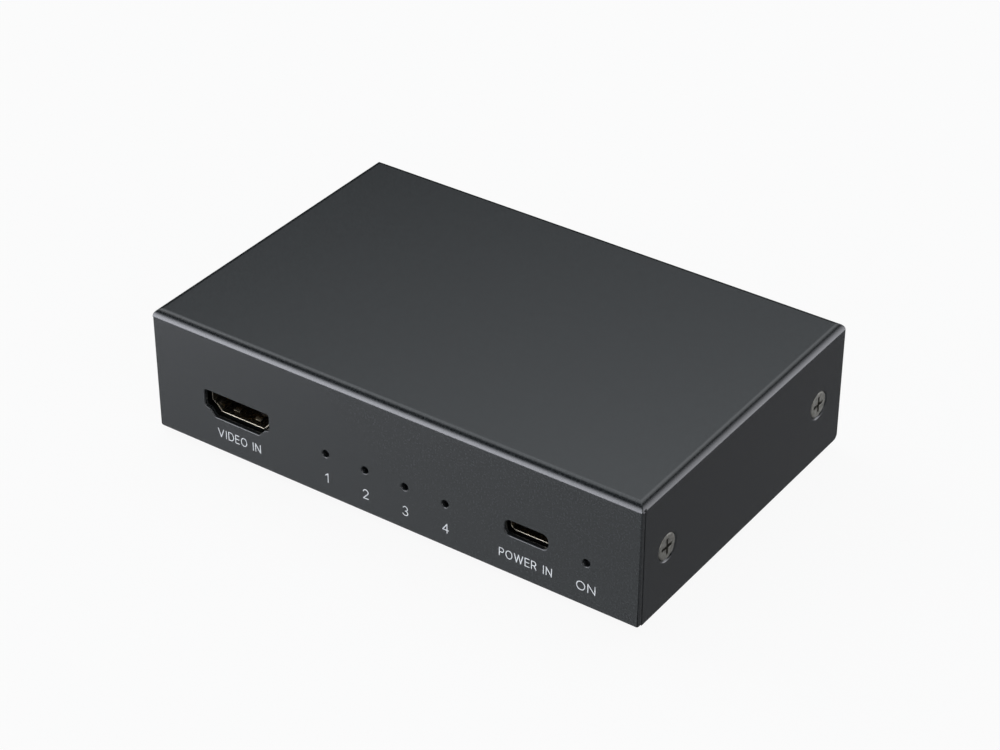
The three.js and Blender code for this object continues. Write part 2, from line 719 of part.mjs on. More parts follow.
const tapeBase = boardTop + splitterHeight + 2 * seat;
const heatSinkSeat = tapeBase + tapeThickness + seat;
const tape = block(-tapeSize / 2, tapeSize / 2, -tapeSize / 2, tapeSize / 2, 0, tapeThickness);
addOnBoard("splitter_chip", chipGeometry(splitterSize, splitterSize, splitterHeight), "chipEpoxy",
  0, splitterY);
addOnBoard("thermal_tape", tape, "thermalTape", 0, splitterY, tapeBase);
addOnBoard("heat_sink", heatSinkGeometry(), "blackAnodised", 0, splitterY, heatSinkSeat);
addOnBoard("control_chip", chipGeometry(controllerSize, controllerSize, controllerHeight), "chipEpoxy",
  controllerX, controllerY);
addOnBoard("crystal", upright(roundedRectangle(crystalWidth, crystalDepth, crystalDepth / 2), 0,
  crystalHeight), "tinnedCan", crystalX, crystalY);

const guardBehindShell = mouth - videoShellDepth - guardGap - guardDepth / 2;
const guard = () => chipGeometry(guardWidth, guardDepth, guardHeight);
addOnBoard("video_in_guard", guard(), "chipEpoxy", videoInX, -guardBehindShell);
videoOutXs.forEach((x, i) => {
  addOnBoard(`video_out_${i + 1}_guard`, guard(), "chipEpoxy", x, guardBehindShell);
});

// The supply: regulator, coil and two storage cans stand in a row behind the power socket.
const supplyY = -mouth + socketShellDepth + canBaseSize;
addOnBoard("regulator", chipGeometry(regulatorWidth, regulatorDepth, regulatorHeight), "chipEpoxy",
  powerSocketX, supplyY);
const coilX = powerSocketX + (regulatorWidth + coilSize) / 2 + supplyGap;
const firstCanX = powerSocketX - (regulatorWidth + canBaseSize) / 2 - supplyGap;
const secondCanX = firstCanX - canBaseSize - supplyGap;
addOnBoard("power_coil", upright(roundedRectangle(coilSize, coilSize, coilCorner), 0, coilHeight),
  "ferrite", coilX, supplyY);
addOnBoard("supply_can_1", capacitorGeometry(), "tinnedCan", firstCanX, supplyY);
addOnBoard("supply_can_2", capacitorGeometry(), "tinnedCan", secondCanX, supplyY);

export default splitter;
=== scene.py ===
import cmath
import math
import bpy
import bmesh
from mathutils import Matrix, Vector


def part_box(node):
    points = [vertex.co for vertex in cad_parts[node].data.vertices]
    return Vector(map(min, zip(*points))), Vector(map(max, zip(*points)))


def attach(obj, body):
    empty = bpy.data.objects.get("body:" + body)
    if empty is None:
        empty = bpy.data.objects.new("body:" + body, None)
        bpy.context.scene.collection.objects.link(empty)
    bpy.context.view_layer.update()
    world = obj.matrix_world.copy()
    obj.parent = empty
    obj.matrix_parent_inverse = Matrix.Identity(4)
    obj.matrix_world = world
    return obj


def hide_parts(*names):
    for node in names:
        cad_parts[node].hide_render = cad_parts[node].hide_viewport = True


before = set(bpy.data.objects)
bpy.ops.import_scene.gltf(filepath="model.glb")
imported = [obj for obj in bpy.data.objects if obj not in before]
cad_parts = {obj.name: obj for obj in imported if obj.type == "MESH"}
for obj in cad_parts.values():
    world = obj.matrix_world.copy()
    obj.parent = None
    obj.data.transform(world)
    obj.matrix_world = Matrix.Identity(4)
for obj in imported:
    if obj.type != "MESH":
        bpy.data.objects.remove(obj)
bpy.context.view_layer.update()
scene = bpy.context.scene
mm = 0.001  # lengths below are in millimetres, meshes are in metres
print("frame loaded:", len(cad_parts), "nodes")


def boxMm(node):  # lowest and highest corner of a CAD node
    low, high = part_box(node)
    return low / mm, high / mm


def hexColor(text):  # sRGB hex to linear RGBA
    values = [int(text[i:i + 2], 16) / 255 for i in (1, 3, 5)]
    linear = [v / 12.92 if v <= 0.04045 else ((v + 0.055) / 1.055) ** 2.4 for v in values]
    return (*linear, 1.0)


def addNode(tree, kind, inputs=None, **settings):  # a value is set, a socket is linked
    node = tree.nodes.new(kind)
    for name, value in settings.items():
        setattr(node, name, value)
    for name, value in (inputs or {}).items():
        if isinstance(value, bpy.types.NodeSocket):
            tree.links.new(value, node.inputs[name])
        else:
            node.inputs[name].default_value = value
    return node


def arithmetic(tree, operation, *values):
    return addNode(tree, "ShaderNodeMath", dict(enumerate(values)), operation=operation).outputs[0]


def towards(azimuth, elevation):  # unit vector, azimuth counted from the front towards the right
    azimuth, elevation = math.radians(azimuth), math.radians(elevation)
    level = math.cos(elevation)
    return Vector((math.sin(azimuth) * level, -math.cos(azimuth) * level, math.sin(elevation)))


# camera: long lens, from the front right and above
camera = dict(
    aim=(0.254, 0.353, 14.244),
    distance=513.4,
    azimuth=34.785,  # degrees round from the front towards the right
    elevation=33.67,
    roll=0.122,
    lens=98.42,
    sensor=36,
    near=0.01,  # metres, as is far
    far=20,
)


def addCamera(spec):
    back = towards(spec["azimuth"], spec["elevation"])
    data = bpy.data.cameras.new("camera")
    data.lens = spec["lens"]
    data.sensor_width = spec["sensor"]
    data.dof.use_dof = False
    data.clip_start = spec["near"]
    data.clip_end = spec["far"]
    item = bpy.data.objects.new("camera", data)
    scene.collection.objects.link(item)
    turn = (-back).to_track_quat("-Z", "Y").to_matrix().to_4x4()
    turn = turn @ Matrix.Rotation(math.radians(spec["roll"]), 4, "Z")
    item.matrix_world = Matrix.Translation((Vector(spec["aim"]) + back * spec["distance"]) * mm) @ turn
    scene.camera = item


addCamera(camera)
scene.view_settings.view_transform = "Standard"

# studio: soft lights all round. A strip spans an azimuth from the front, in degrees, and a range of
# elevations, each with soft edges. A dome is round about its direction.
studio = dict(
    strips=[
        dict(name="front left key", azimuth=-35, wide=10, soft=7,
             low=-25, high=-2, softLow=4, softHigh=45, strength=8.7, tint="#f4f6ff"),
        dict(name="front left floor", azimuth=-36, wide=22, soft=12,
             low=-75, high=-32, softLow=10, softHigh=6, strength=0.63, tint="#f4f8fa"),
        dict(name="back right", azimuth=141, wide=10, soft=7,
             low=-23, high=0, softLow=5, softHigh=42, strength=3.25, tint="#f7f8ff"),
        dict(name="back right floor", azimuth=145, wide=22, soft=12,
             low=-75, high=-32, softLow=10, softHigh=6, strength=0.21, tint="#f8f8fc"),
        dict(name="front right floor", azimuth=55, wide=35, soft=25,
             low=-75, high=-20, softLow=10, softHigh=14, strength=0.5, tint="#f6f8ff"),
        dict(name="back left", azimuth=-145, wide=25, soft=15,
             low=34, high=44, softLow=9, softHigh=10, strength=0.14, tint="#f6f9ff"),
        dict(name="left fill", azimuth=-95, wide=12, soft=16,
             low=-10, high=40, softLow=20, softHigh=20, strength=3.7, tint="#fcfcff"),
        dict(name="right fill", azimuth=62, wide=22, soft=16,
             low=4, high=38, softLow=12, softHigh=20, strength=2.2, tint="#fdfdff"),
        dict(name="rear fill", azimuth=180, wide=12, soft=16,
             low=-10, high=40, softLow=20, softHigh=20, strength=0.4, tint="#ffffff"),
    ],
    domes=[
        dict(name="overhead", azimuth=-153, elevation=66, inner=19, outer=41, strength=1.9, tint="#f4faff"),
    ],
)


def addStudio(spec):
    world = bpy.data.worlds.new("studio")
    world.use_nodes = True
    scene.world = world
    tree = world.node_tree
    tree.nodes.clear()

    def ramp(value, start, end):  # smooth step from 0 at start to 1 at end
        span = {"Value": value, "From Min": math.radians(start), "From Max": math.radians(end)}
        return addNode(tree, "ShaderNodeMapRange", span, interpolation_type="SMOOTHSTEP").outputs[0]

    def fall(value, start, end):  # smooth step from 1 at start to 0 at end
        return arithmetic(tree, "SUBTRACT", 1.0, ramp(value, start, end))

    direction = addNode(tree, "ShaderNodeTexCoord").outputs["Generated"]
    axes = addNode(tree, "ShaderNodeSeparateXYZ", {0: direction}).outputs
    azimuth = arithmetic(tree, "ARCTAN2", axes["X"], arithmetic(tree, "MULTIPLY", axes["Y"], -1.0))
    elevation = arithmetic(tree, "ARCSINE", axes["Z"])
    lights = []
    for strip in spec["strips"]:
        turn = arithmetic(tree, "SUBTRACT", azimuth, math.radians(strip["azimuth"]))
        away = arithmetic(tree, "ABSOLUTE", arithmetic(tree, "WRAP", turn, -math.pi, math.pi))
        across = fall(away, strip["wide"], strip["wide"] + strip["soft"])
        upward = ramp(elevation, strip["low"] - strip["softLow"], strip["low"])
        below = fall(elevation, strip["high"], strip["high"] + strip["softHigh"])
        tall = arithmetic(tree, "MULTIPLY", upward, below)
        lights.append((strip, arithmetic(tree, "MULTIPLY", across, tall)))
    for dome in spec["domes"]:
        pair = {0: direction, 1: towards(dome["azimuth"], dome["elevation"])}
        facing = addNode(tree, "ShaderNodeVectorMath", pair, operation="DOT_PRODUCT").outputs["Value"]
        lights.append((dome, fall(arithmetic(tree, "ARCCOSINE", facing), dome["inner"], dome["outer"])))
    total = None
    for light, lit in lights:
        power = arithmetic(tree, "MULTIPLY", lit, light["strength"])
        scaled = {0: hexColor(light["tint"])[:3], "Scale": power}
        colour = addNode(tree, "ShaderNodeVectorMath", scaled, operation="SCALE").outputs[0]
        if total is not None:
            both = {0: total, 1: colour}
            colour = addNode(tree, "ShaderNodeVectorMath", both, operation="ADD").outputs[0]
        total = colour
    background = addNode(tree, "ShaderNodeBackground", {"Color": total, "Strength": 1.0})
    addNode(tree, "ShaderNodeOutputWorld", {"Surface": background.outputs[0]})


addStudio(studio)

floor = dict(size=6000, shade="#fbfbfb", shadowShare=0.04)


def addFloor(spec):
    half = spec["size"] / 2 * mm
    data = bpy.data.meshes.new("floor")
    corners = [(-half, -half, 0), (half, -half, 0), (half, half, 0), (-half, half, 0)]
    data.from_pydata(corners, [], [(0, 1, 2, 3)])
    item = bpy.data.objects.new("floor", data)
    scene.collection.objects.link(item)
    paint = bpy.data.materials.new("paleStudioPaint")  # matt paint, lit evenly enough to read as plain
    paint.use_nodes = True
    tree = paint.node_tree
    tree.nodes.clear()
    glow = addNode(tree, "ShaderNodeEmission", {"Color": hexColor(spec["shade"]), "Strength": 1.0})
    matt = addNode(tree, "ShaderNodeBsdfDiffuse", {"Color": hexColor(spec["shade"])})
    shares = {0: spec["shadowShare"], 1: glow.outputs[0], 2: matt.outputs[0]}
    mix = addNode(tree, "ShaderNodeMixShader", shares)
    addNode(tree, "ShaderNodeOutputMaterial", {"Surface": mix.outputs[0]})
    data.materials.append(paint)
    item.visible_glossy = False
    item.visible_diffuse = False
    item.visible_shadow = False
    item.visible_transmission = False


addFloor(floor)
print("camera, studio and floor made")


# materials
def newMaterial(name):
    item = bpy.data.materials.new(name)
    item.use_nodes = True
    item.node_tree.nodes.clear()
    return item, item.node_tree


def surfaceShader(tree, inputs):
    shader = addNode(tree, "ShaderNodeBsdfPrincipled", inputs)
    addNode(tree, "ShaderNodeOutputMaterial", {"Surface": shader.outputs[0]})


def objectCoords(tree, stretch=(1, 1, 1)):
    place = addNode(tree, "ShaderNodeTexCoord").outputs["Object"]
    if stretch == (1, 1, 1):
        return place
    return addNode(tree, "ShaderNodeMapping", {"Vector": place, "Scale": stretch}).outputs[0]


def grain(tree, size, detail=2.0, stretch=(1, 1, 1)):  # noise with cells of a size in millimetres
    return addNode(tree, "ShaderNodeTexNoise", {
        "Vector": objectCoords(tree, stretch), "Scale": 1 / (size * mm), "Detail": detail}).outputs["Fac"]


def bumpOf(tree, height, depth, normal=None):  # depth in millimetres
    inputs = {"Height": height, "Distance": depth * mm}
    if normal:
        inputs["Normal"] = normal
    return addNode(tree, "ShaderNodeBump", inputs).outputs[0]


def levels(tree, value, low, high, toLow=0.0, toHigh=1.0):
    return addNode(tree, "ShaderNodeMapRange", {
        "Value": value, "From Min": low, "From Max": high, "To Min": toLow, "To Max": toHigh}).outputs[0]


def blendColors(tree, factor, low, high):
    return addNode(tree, "ShaderNodeMix", {0: factor, 6: low, 7: high}, data_type="RGBA").outputs[2]


def mottle(tree, value, spec):  # colour between two shades where the noise rises
    return blendColors(tree, levels(tree, value, 0.35, 0.65), hexColor(spec["dark"]), hexColor(spec["light"]))


# polyester powder coat, sprayed and baked: satin, with fine grain and soft orange peel
powderCoat = dict(dark="#121415", light="#252829", grainSize=0.34, peelSize=1.5, roughness=0.19)


def makePowderCoat(spec):
    item, tree = newMaterial("powderCoatedSteel")
    fine = grain(tree, spec["grainSize"], detail=3)
    soft = bumpOf(tree, grain(tree, spec["peelSize"], detail=1), 0.004)
    surfaceShader(tree, {
        "Base Color": mottle(tree, fine, spec),
        "Roughness": levels(tree, fine, 0.3, 0.7, spec["roughness"] - 0.02, spec["roughness"] + 0.04),
        "IOR": 1.5,
        "Normal": bumpOf(tree, fine, 0.0025, normal=soft),
    })
    return item


def makeMetal(name, spec):  # plated or bare metal: worn tone, roughness that varies, fine lines one way
    item, tree = newMaterial(name)
    tone = grain(tree, spec["patch"], detail=3)
    lines = grain(tree, spec["line"], detail=2, stretch=spec["stretch"])
    surfaceShader(tree, {
        "Base Color": mottle(tree, tone, spec),
        "Metallic": 1.0,
        "Roughness": levels(tree, lines, 0.3, 0.7, spec["roughness"] * 0.8, spec["roughness"] * 1.25),
        "Normal": bumpOf(tree, lines, spec["depth"]),
    })
    return item


def makePlastic(name, spec):  # moulded: mottled tone, fine eroded texture
    item, tree = newMaterial(name)
    fine = grain(tree, spec["line"], detail=3)
    surfaceShader(tree, {
        "Base Color": mottle(tree, grain(tree, spec["patch"], detail=2), spec),
        "Roughness": levels(tree, fine, 0.3, 0.7, spec["roughness"] - 0.05, spec["roughness"] + 0.05),
        "IOR": 1.5,
        "Normal": bumpOf(tree, fine, spec["depth"]),
    })
    return item


powderCoatedSteel = makePowderCoat(powderCoat)

metals = dict(
    # drawn steel sheet, nickel plated, lines along the draw
    nickelPlatedShell=dict(dark="#8f8a7c", light="#b3ac9b", patch=2.5, line=0.08, stretch=(1, 0.1, 1),
                           roughness=0.24, depth=0.0003),
    # cold-headed steel screw, zinc plated and passivated grey
    greyPassivatedZinc=dict(dark="#77766f", light="#94938c", patch=0.7, line=0.12, stretch=(1, 1, 1),
                            roughness=0.42, depth=0.002),
    # turned or headed steel, bright zinc plate
    brightZincPlate=dict(dark="#a9abad", light="#c6c8ca", patch=0.9, line=0.1, stretch=(1, 1, 0.1),
                         roughness=0.3, depth=0.001),
    # stamped copper alloy, gold flash over nickel
    goldFlashedContact=dict(dark="#b8892f", light="#dbb45c", patch=0.5, line=0.05, stretch=(1, 0.1, 1),
                            roughness=0.22, depth=0.0004),
    # deep-drawn aluminium or steel can, washed
    drawnCan=dict(dark="#a4a6a9", light="#c1c3c6", patch=1.2, line=0.07, stretch=(1, 1, 0.12),
                  roughness=0.28, depth=0.0008),
    # extruded aluminium, anodised black, lines along the extrusion
    blackAnodisedAluminium=dict(dark="#17181a", light="#222326", patch=1.4, line=0.09, stretch=(1, 0.08, 1),
                                roughness=0.42, depth=0.001),
)
plastics = dict(
    # injection-moulded glass-filled nylon
    glassFilledNylon=dict(dark="#0c0c0c", light="#161616", patch=0.6, line=0.08,
                          roughness=0.48, depth=0.0015),
    # compression-moulded rubber, matt
    mouldedRubber=dict(dark="#0d0d0d", light="#151515", patch=0.9, line=0.15, roughness=0.82, depth=0.006),
    # transfer-moulded epoxy chip body, spark-eroded finish
    mouldedEpoxy=dict(dark="#141415", light="#1f1f20", patch=0.8, line=0.1, roughness=0.6, depth=0.003),
    # filled silicone heat-transfer tape
    siliconeTape=dict(dark="#7d8892", light="#95a0aa", patch=0.7, line=0.2, roughness=0.8, depth=0.004),
    # pressed and sintered ferrite, tumbled
    sinteredFerrite=dict(dark="#232324", light="#303132", patch=0.6, line=0.14, roughness=0.62, depth=0.004),
    # screen-printed two-part ink, matt white
    screenPrintedInk=dict(dark="#c4c6c7", light="#d2d4d4", patch=0.5, line=0.09,
                          roughness=0.55, depth=0.0008),
    # cast smoke-grey epoxy, polished by its mould
    smokedEpoxyLens=dict(dark="#3a3a3d", light="#444447", patch=1.5, line=0.5, roughness=0.16, depth=0.0005),
)
made = {name: makeMetal(name, spec) for name, spec in metals.items()}
made.update({name: makePlastic(name, spec) for name, spec in plastics.items()})

# glass-epoxy laminate under black solder mask: copper pours show through, weave faintly
solderMask = dict(dark="#0d0f0e", light="#161918", pour=3.2, weave=0.45, roughness=0.32)


def makeSolderMask(spec):
    item, tree = newMaterial("solderMaskedLaminate")
    cells = {"Vector": objectCoords(tree), "Scale": 1 / (spec["pour"] * mm)}
    pours = addNode(tree, "ShaderNodeTexVoronoi", cells,
                    feature="DISTANCE_TO_EDGE", distance="CHEBYCHEV").outputs["Distance"]
    raised = levels(tree, pours, 0.03, 0.06)
    weave = grain(tree, spec["weave"], detail=1)
    surfaceShader(tree, {
        "Base Color": blendColors(tree, raised, hexColor(spec["dark"]), hexColor(spec["light"])),
        "Roughness": levels(tree, weave, 0.3, 0.7, spec["roughness"] - 0.04, spec["roughness"] + 0.06),
        "IOR": 1.5,
        "Normal": bumpOf(tree, weave, 0.002, normal=bumpOf(tree, raised, 0.02)),
    })
    return item


made["solderMaskedLaminate"] = makeSolderMask(solderMask)
print("materials made:", len(made) + 1)


# outlines: lists of (u, v), counter-clockwise
def insetCorners(corners, distance):  # moves every side inwards
    points = [complex(*corner) for corner in corners]
    lines = []
    for here, after in zip(points, points[1:] + points[:1]):
        along = (after - here) / abs(after - here)
        lines.append((here + along * 1j * distance, along))
    moved = []
    for i, (start, along) in enumerate(lines):
        before, beforeAlong = lines[i - 1]
        gap = start - before
        cross = (beforeAlong.conjugate() * along).imag
        reach = (gap.conjugate() * along).imag / cross
        moved.append(before + beforeAlong * reach)
    return [(point.real, point.imag) for point in moved]


def roundCorners(corners, radii, steps=6):  # every corner becomes an arc with the same number of points
    points = [complex(*corner) for corner in corners]
    if isinstance(radii, (int, float)):
        radii = [radii] * len(points)
    outline = []
    for i, here in enumerate(points):
        back = points[i - 1] - here
        on = points[(i + 1) % len(points)] - here
        back, on = back / abs(back), on / abs(on)
        half = abs(cmath.phase(on / back)) / 2
        middle = here + (back + on) / abs(back + on) * radii[i] / math.sin(half)
        start = here + back * radii[i] / math.tan(half) - middle
        end = here + on * radii[i] / math.tan(half) - middle
        sweep = cmath.phase(end / start)
        for k in range(steps + 1):
            point = middle + start * cmath.exp(1j * sweep * k / steps)
            outline.append((point.real, point.imag))
    return outline


def rectangle(halfU, halfV, radius=0.01, steps=6, centre=(0, 0)):
    u, v = centre
    corners = [(u - halfU, v - halfV), (u + halfU, v - halfV), (u + halfU, v + halfV), (u - halfU, v + halfV)]
    return roundCorners(corners, radius, steps)


def circle(radius, count=48, centre=(0, 0)):
    turns = [2 * math.pi * k / count for k in range(count)]
    return [(centre[0] + radius * math.cos(a), centre[1] + radius * math.sin(a)) for a in turns]


# bodies: (points, faces) in millimetres
axisOrder = dict(X=(2, 0, 1), Y=(0, 2, 1), Z=(0, 1, 2))


def ringAt(outline, level, axis="Z"):
    order = axisOrder[axis]
    return [tuple((u, v, level)[k] for k in order) for u, v in outline]


def loft(rings):  # closed body through rings of equally many points
    count = len(rings[0])
    points = [point for ring in rings for point in ring]
    faces = [tuple(reversed(range(count))), tuple(range(len(points) - count, len(points)))]
    for start in range(0, len(points) - count, count):
        for i in range(count):
            j = (i + 1) % count
            faces.append((start + i, start + j, start + count + j, start + count + i))
    return points, faces


def prism(outline, low, high, axis="Z"):
    return loft([ringAt(outline, low, axis), ringAt(outline, high, axis)])


def block(low, high):  # box between two opposite corners
    footprint = [(low[0], low[1]), (high[0], low[1]), (high[0], high[1]), (low[0], high[1])]
    return prism(footprint, low[2], high[2])


def turned(section, count=48, axis="Z"):  # round body from (radius, level) pairs, ends closed flat
    return loft([ringAt(circle(radius, count), level, axis) for radius, level in section])


def placed(body, offset, turn):  # turned about Z, then moved
    change = Matrix.Translation(Vector(offset)) @ Matrix.Rotation(math.radians(turn), 4, "Z")
    return [tuple(change @ Vector(point)) for point in body[0]], body[1]


def together(bodies):  # bodies that don't touch, as one
    points, faces = [], []
    for bodyPoints, bodyFaces in bodies:
        faces += [tuple(index + len(points) for index in face) for face in bodyFaces]
        points += bodyPoints
    return points, faces


def addWorked(name, data, work, material):  # object from a mesh and the editable mesh made for it
    work.to_mesh(data)
    work.free()
    data.materials.append(material)
    item = bpy.data.objects.new(name, data)
    scene.collection.objects.link(item)
    return item


def addPiece(name, body, material):
    data = bpy.data.meshes.new(name)
    data.from_pydata([Vector(point) * mm for point in body[0]], [], body[1])
    work = bmesh.new()
    work.from_mesh(data)
    bmesh.ops.recalc_face_normals(work, faces=work.faces)
    return addWorked(name, data, work, material)


def settle(item):  # modifiers become plain mesh
    graph = bpy.context.evaluated_depsgraph_get()
    plain = bpy.data.meshes.new_from_object(
        item.evaluated_get(graph), preserve_all_data_layers=True, depsgraph=graph)
    item.modifiers.clear()
    item.data = plain
    return item


def combine(item, bodies, operation="DIFFERENCE"):
    tools = [addPiece("tool", body, item.data.materials[0]) for body in bodies]
    for tool in tools:
        step = item.modifiers.new("step", "BOOLEAN")
        step.operation = operation
        step.solver = "EXACT"
        step.object = tool
    settle(item)
    for tool in tools:
        bpy.data.objects.remove(tool)
    return item


def soften(item, width=0.0, segments=3, angle=35, share=None):  # rounds the sharp edges, keeps the flats flat
    if width:
        edge = item.modifiers.new("edge", "BEVEL")
        edge.width = width * mm
        edge.segments = segments
        edge.limit_method = "WEIGHT" if share else "ANGLE"
        edge.angle_limit = math.radians(angle)
        edge.use_clamp_overlap = share is None
        if share:  # part of the width that each sharp edge takes, from its middle in millimetres
            work = bmesh.new()
            work.from_mesh(item.data)
            weight = work.edges.layers.float.new("bevel_weight_edge")
            for line in work.edges:
                if len(line.link_faces) == 2 and line.calc_face_angle(0) > math.radians(angle):
                    line[weight] = share((line.verts[0].co + line.verts[1].co) / 2 / mm)
            work.to_mesh(item.data)
            work.free()
    for face in item.data.polygons:
        face.use_smooth = True
    normal = item.modifiers.new("normal", "WEIGHTED_NORMAL")
    normal.keep_sharp = True
    normal.weight = 90
    return settle(item)


def finish(item, nodes=()):
    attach(item, "root")
    if nodes:
        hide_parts(*nodes)
    item.data.name = item.name
    print("piece", item.name, len(item.data.polygons), "faces")
    return item


corners = ("front_left", "front_right", "rear_left", "rear_right")


# repeats one piece over a grid, realised as plain mesh
def makeRepeater():
    tree = bpy.data.node_groups.new("repeatOverGrid", "GeometryNodeTree")
    sockets = {}
    kinds = {"Piece": "Object", "Count X": "Int", "Count Y": "Int", "Pitch X": "Float", "Pitch Y": "Float",
             "Turn": "Float", "Face Outwards": "Float", "Middle": "Vector", "Material": "Material"}
    for name, kind in kinds.items():
        entry = tree.interface.new_socket(name, in_out="INPUT", socket_type="NodeSocket" + kind)
        sockets[name] = entry.identifier
    tree.interface.new_socket("Geometry", in_out="OUTPUT", socket_type="NodeSocketGeometry")
    given = addNode(tree, "NodeGroupInput").outputs

    def span(axis):  # pitch times one less than the count
        gaps = arithmetic(tree, "SUBTRACT", given["Count " + axis], 1.0)
        return arithmetic(tree, "MULTIPLY", gaps, given["Pitch " + axis])

    grid = addNode(tree, "GeometryNodeMeshGrid", {
        "Size X": span("X"), "Size Y": span("Y"),
        "Vertices X": given["Count X"], "Vertices Y": given["Count Y"]}).outputs["Mesh"]
    position = addNode(tree, "GeometryNodeInputPosition").outputs[0]
    place = addNode(tree, "ShaderNodeSeparateXYZ", {0: position}).outputs
    leftwards = arithmetic(tree, "LESS_THAN", place["X"], 0.0)
    halfTurn = arithmetic(tree, "MULTIPLY", leftwards, given["Face Outwards"])
    angle = arithmetic(tree, "MULTIPLY_ADD", halfTurn, math.pi, given["Turn"])
    rotation = addNode(tree, "ShaderNodeCombineXYZ", {"Z": angle}).outputs[0]
    shape = addNode(tree, "GeometryNodeObjectInfo", {"Object": given["Piece"]}).outputs["Geometry"]
    many = addNode(tree, "GeometryNodeInstanceOnPoints", {
        "Points": grid, "Instance": shape, "Rotation": rotation}).outputs["Instances"]
    plain = addNode(tree, "GeometryNodeRealizeInstances", {"Geometry": many}).outputs["Geometry"]
    shifted = addNode(tree, "GeometryNodeTransform", {
        "Geometry": plain, "Translation": given["Middle"]}).outputs["Geometry"]
    painted = addNode(tree, "GeometryNodeSetMaterial", {
        "Geometry": shifted, "Material": given["Material"]}).outputs["Geometry"]
    addNode(tree, "NodeGroupOutput", {0: painted})
    return tree, sockets


repeater, repeaterInputs = makeRepeater()


def repeat(name, source, count, pitch, middle, turn=0.0, outwards=False):
    item = bpy.data.objects.new(name, bpy.data.meshes.new(name))
    scene.collection.objects.link(item)
    material = source.data.materials[0]
    step = item.modifiers.new("repeat", "NODES")
    step.node_group = repeater
    values = {"Piece": source, "Count X": count[0], "Count Y": count[1], "Pitch X": pitch[0] * mm,
              "Pitch Y": pitch[1] * mm, "Turn": math.radians(turn), "Face Outwards": float(outwards),
              "Middle": tuple(v * mm for v in middle), "Material": material}
    for key, value in values.items():
        step[repeaterInputs[key]] = value
    return settle(item)


def drop(*items):  # working copies that are not part of the object
    for item in items:
        bpy.data.objects.remove(item)


# cover: one folded sheet, mitred bends over the top, seams beside the flanges
coverLow, coverHigh = boxMm("cover")
cover = dict(
    sheet=1.0,
    bend=1.6,
    bendSteps=18,
    edge=0.22,  # round that the coat leaves on cut edges
    seamEdge=0.25,  # share of that round beside the seams
    flangeEdge=0.26,  # round of the front flange's upright edges
    seam=0.035,
    seamTop=1.0,
    relief=0.25,
    frontInset=0.1,
    rearCorner=1.1,
    panelCorner=0.5,
    lampHole=0.73,
    screwMouth=2.9,
    cornerRound=0.2,  # of the outer upright edges, smaller over the bend by the share lost
    roundLost=0.7,
    innerRound=0.05,
    innerSteps=8,
    beside=dict(seam=0.4, wall=1.1),  # edges beside a seam: from the seam, from the outer face
    reliefZone=dict(down=2.55, inwards=3.5),  # edges round the relief holes
    seamFoot=1.4,
)
video = dict(
    width=15.2, height=5.35, side=3.5, floor=10.5, shoulder=(1.1, 0.4), corner=0.5, tightest=0.15, valley=0.3,
    fit=0.2, wall=0.32, rim=0.1, deburr=0.03, depth=11.0, axis=11.46, inX=-34.7, outX=(33, 11, -11, -33),
    legs=dict(at=(2.6, 8.6), half=0.7, low=-4.6, top=1.0),
    plug=3.5, tongue=[(5.6, 0.3, 0.1, 2.0), (5.8, 0.6, 0.15, 2.5)], root=1.0, mouldEdge=0.05,
    contacts=dict(counts=(10, 9), pitch=1.0, half=0.21, front=2.35, back=9.4, low=0.56, high=0.66),
)
socket = dict(
    width=9.15, height=3.2, corner=1.25,
    fit=0.08, wall=0.28, rim=0.08, deburr=0.03, depth=7.3, axis=11.55, x=30.4,
    legs=dict(at=(1.6, 5.6), half=0.55, low=-4.7, top=0.0),
    plug=1.8, tongue=[(3.1, 0.2, 0.1, 0.8), (3.35, 0.35, 0.12, 1.05)], root=0.5, mouldEdge=0.04,
    contacts=dict(counts=(12, 12), pitch=0.5, half=0.14, front=1.1, back=6.0, low=0.33, high=0.39),
)
lamps = dict(count=4, middle=-0.4368, pitch=8.93, powerX=42.95, axis=10.9, y=-33.85)
lampX = [lamps["middle"] + lamps["pitch"] * (k - 1.5) for k in range(lamps["count"])]
mouth = 33.35  # the shells' mouths from the middle of the case
mouldFit = 0.1  # round a moulding inside its shell
sideScrew = dict(y=26.4, z=13.9, sunk=0.1)
hair = 0.01  # keeps two cuts from sharing a face


def videoOutline(inside, steps=6):  # D-shaped, wide side up, about its own middle
    x, top = video["width"] / 2, video["height"] / 2
    shoulder = top - video["side"]
    inX, inY = x - video["shoulder"][0], shoulder - video["shoulder"][1]
    foot = video["floor"] / 2
    corners = insetCorners([(-foot, -top), (foot, -top), (inX, inY), (x, shoulder), (x, top), (-x, top),
                            (-x, shoulder), (-inX, inY)], inside)
    tight = max(video["corner"] - inside, video["tightest"])
    wide = video["valley"] + inside
    return roundCorners(corners, [tight, tight, wide, tight, tight, tight, tight, wide], steps)


def socketOutline(inside, steps=12):
    halfWidth, halfHeight = socket["width"] / 2 - inside, socket["height"] / 2 - inside
    return rectangle(halfWidth, halfHeight, socket["corner"] - inside, steps)


def shifted(outline, u, v):
    return [(a + u, b + v) for a, b in outline]


def keyhole(halfWidth, radius, bottom, centre):  # slot with a round end, v upwards
    start = math.asin(halfWidth / radius)
    turns = [-math.pi / 2 + start + (2 * math.pi - 2 * start) * k / 20 for k in range(21)]
    end = [(centre[0] + radius * math.cos(a), centre[1] + radius * math.sin(a)) for a in turns]
    return [(centre[0] - halfWidth, bottom), (centre[0] + halfWidth, bottom)] + end


def quarterOutside(corner, signs, radius, spare=1.0):  # what a rounded corner leaves out
    u, v = corner
    su, sv = signs
    far = (u + su * spare, v + sv * spare)
    points = [(u - su * radius, far[1]), far, (far[0], v - sv * radius)]
    for k in range(9):
        a = math.pi / 2 * k / 8
        points.append((u - su * radius * (1 - math.cos(a)), v - sv * radius * (1 - math.sin(a))))
    return points


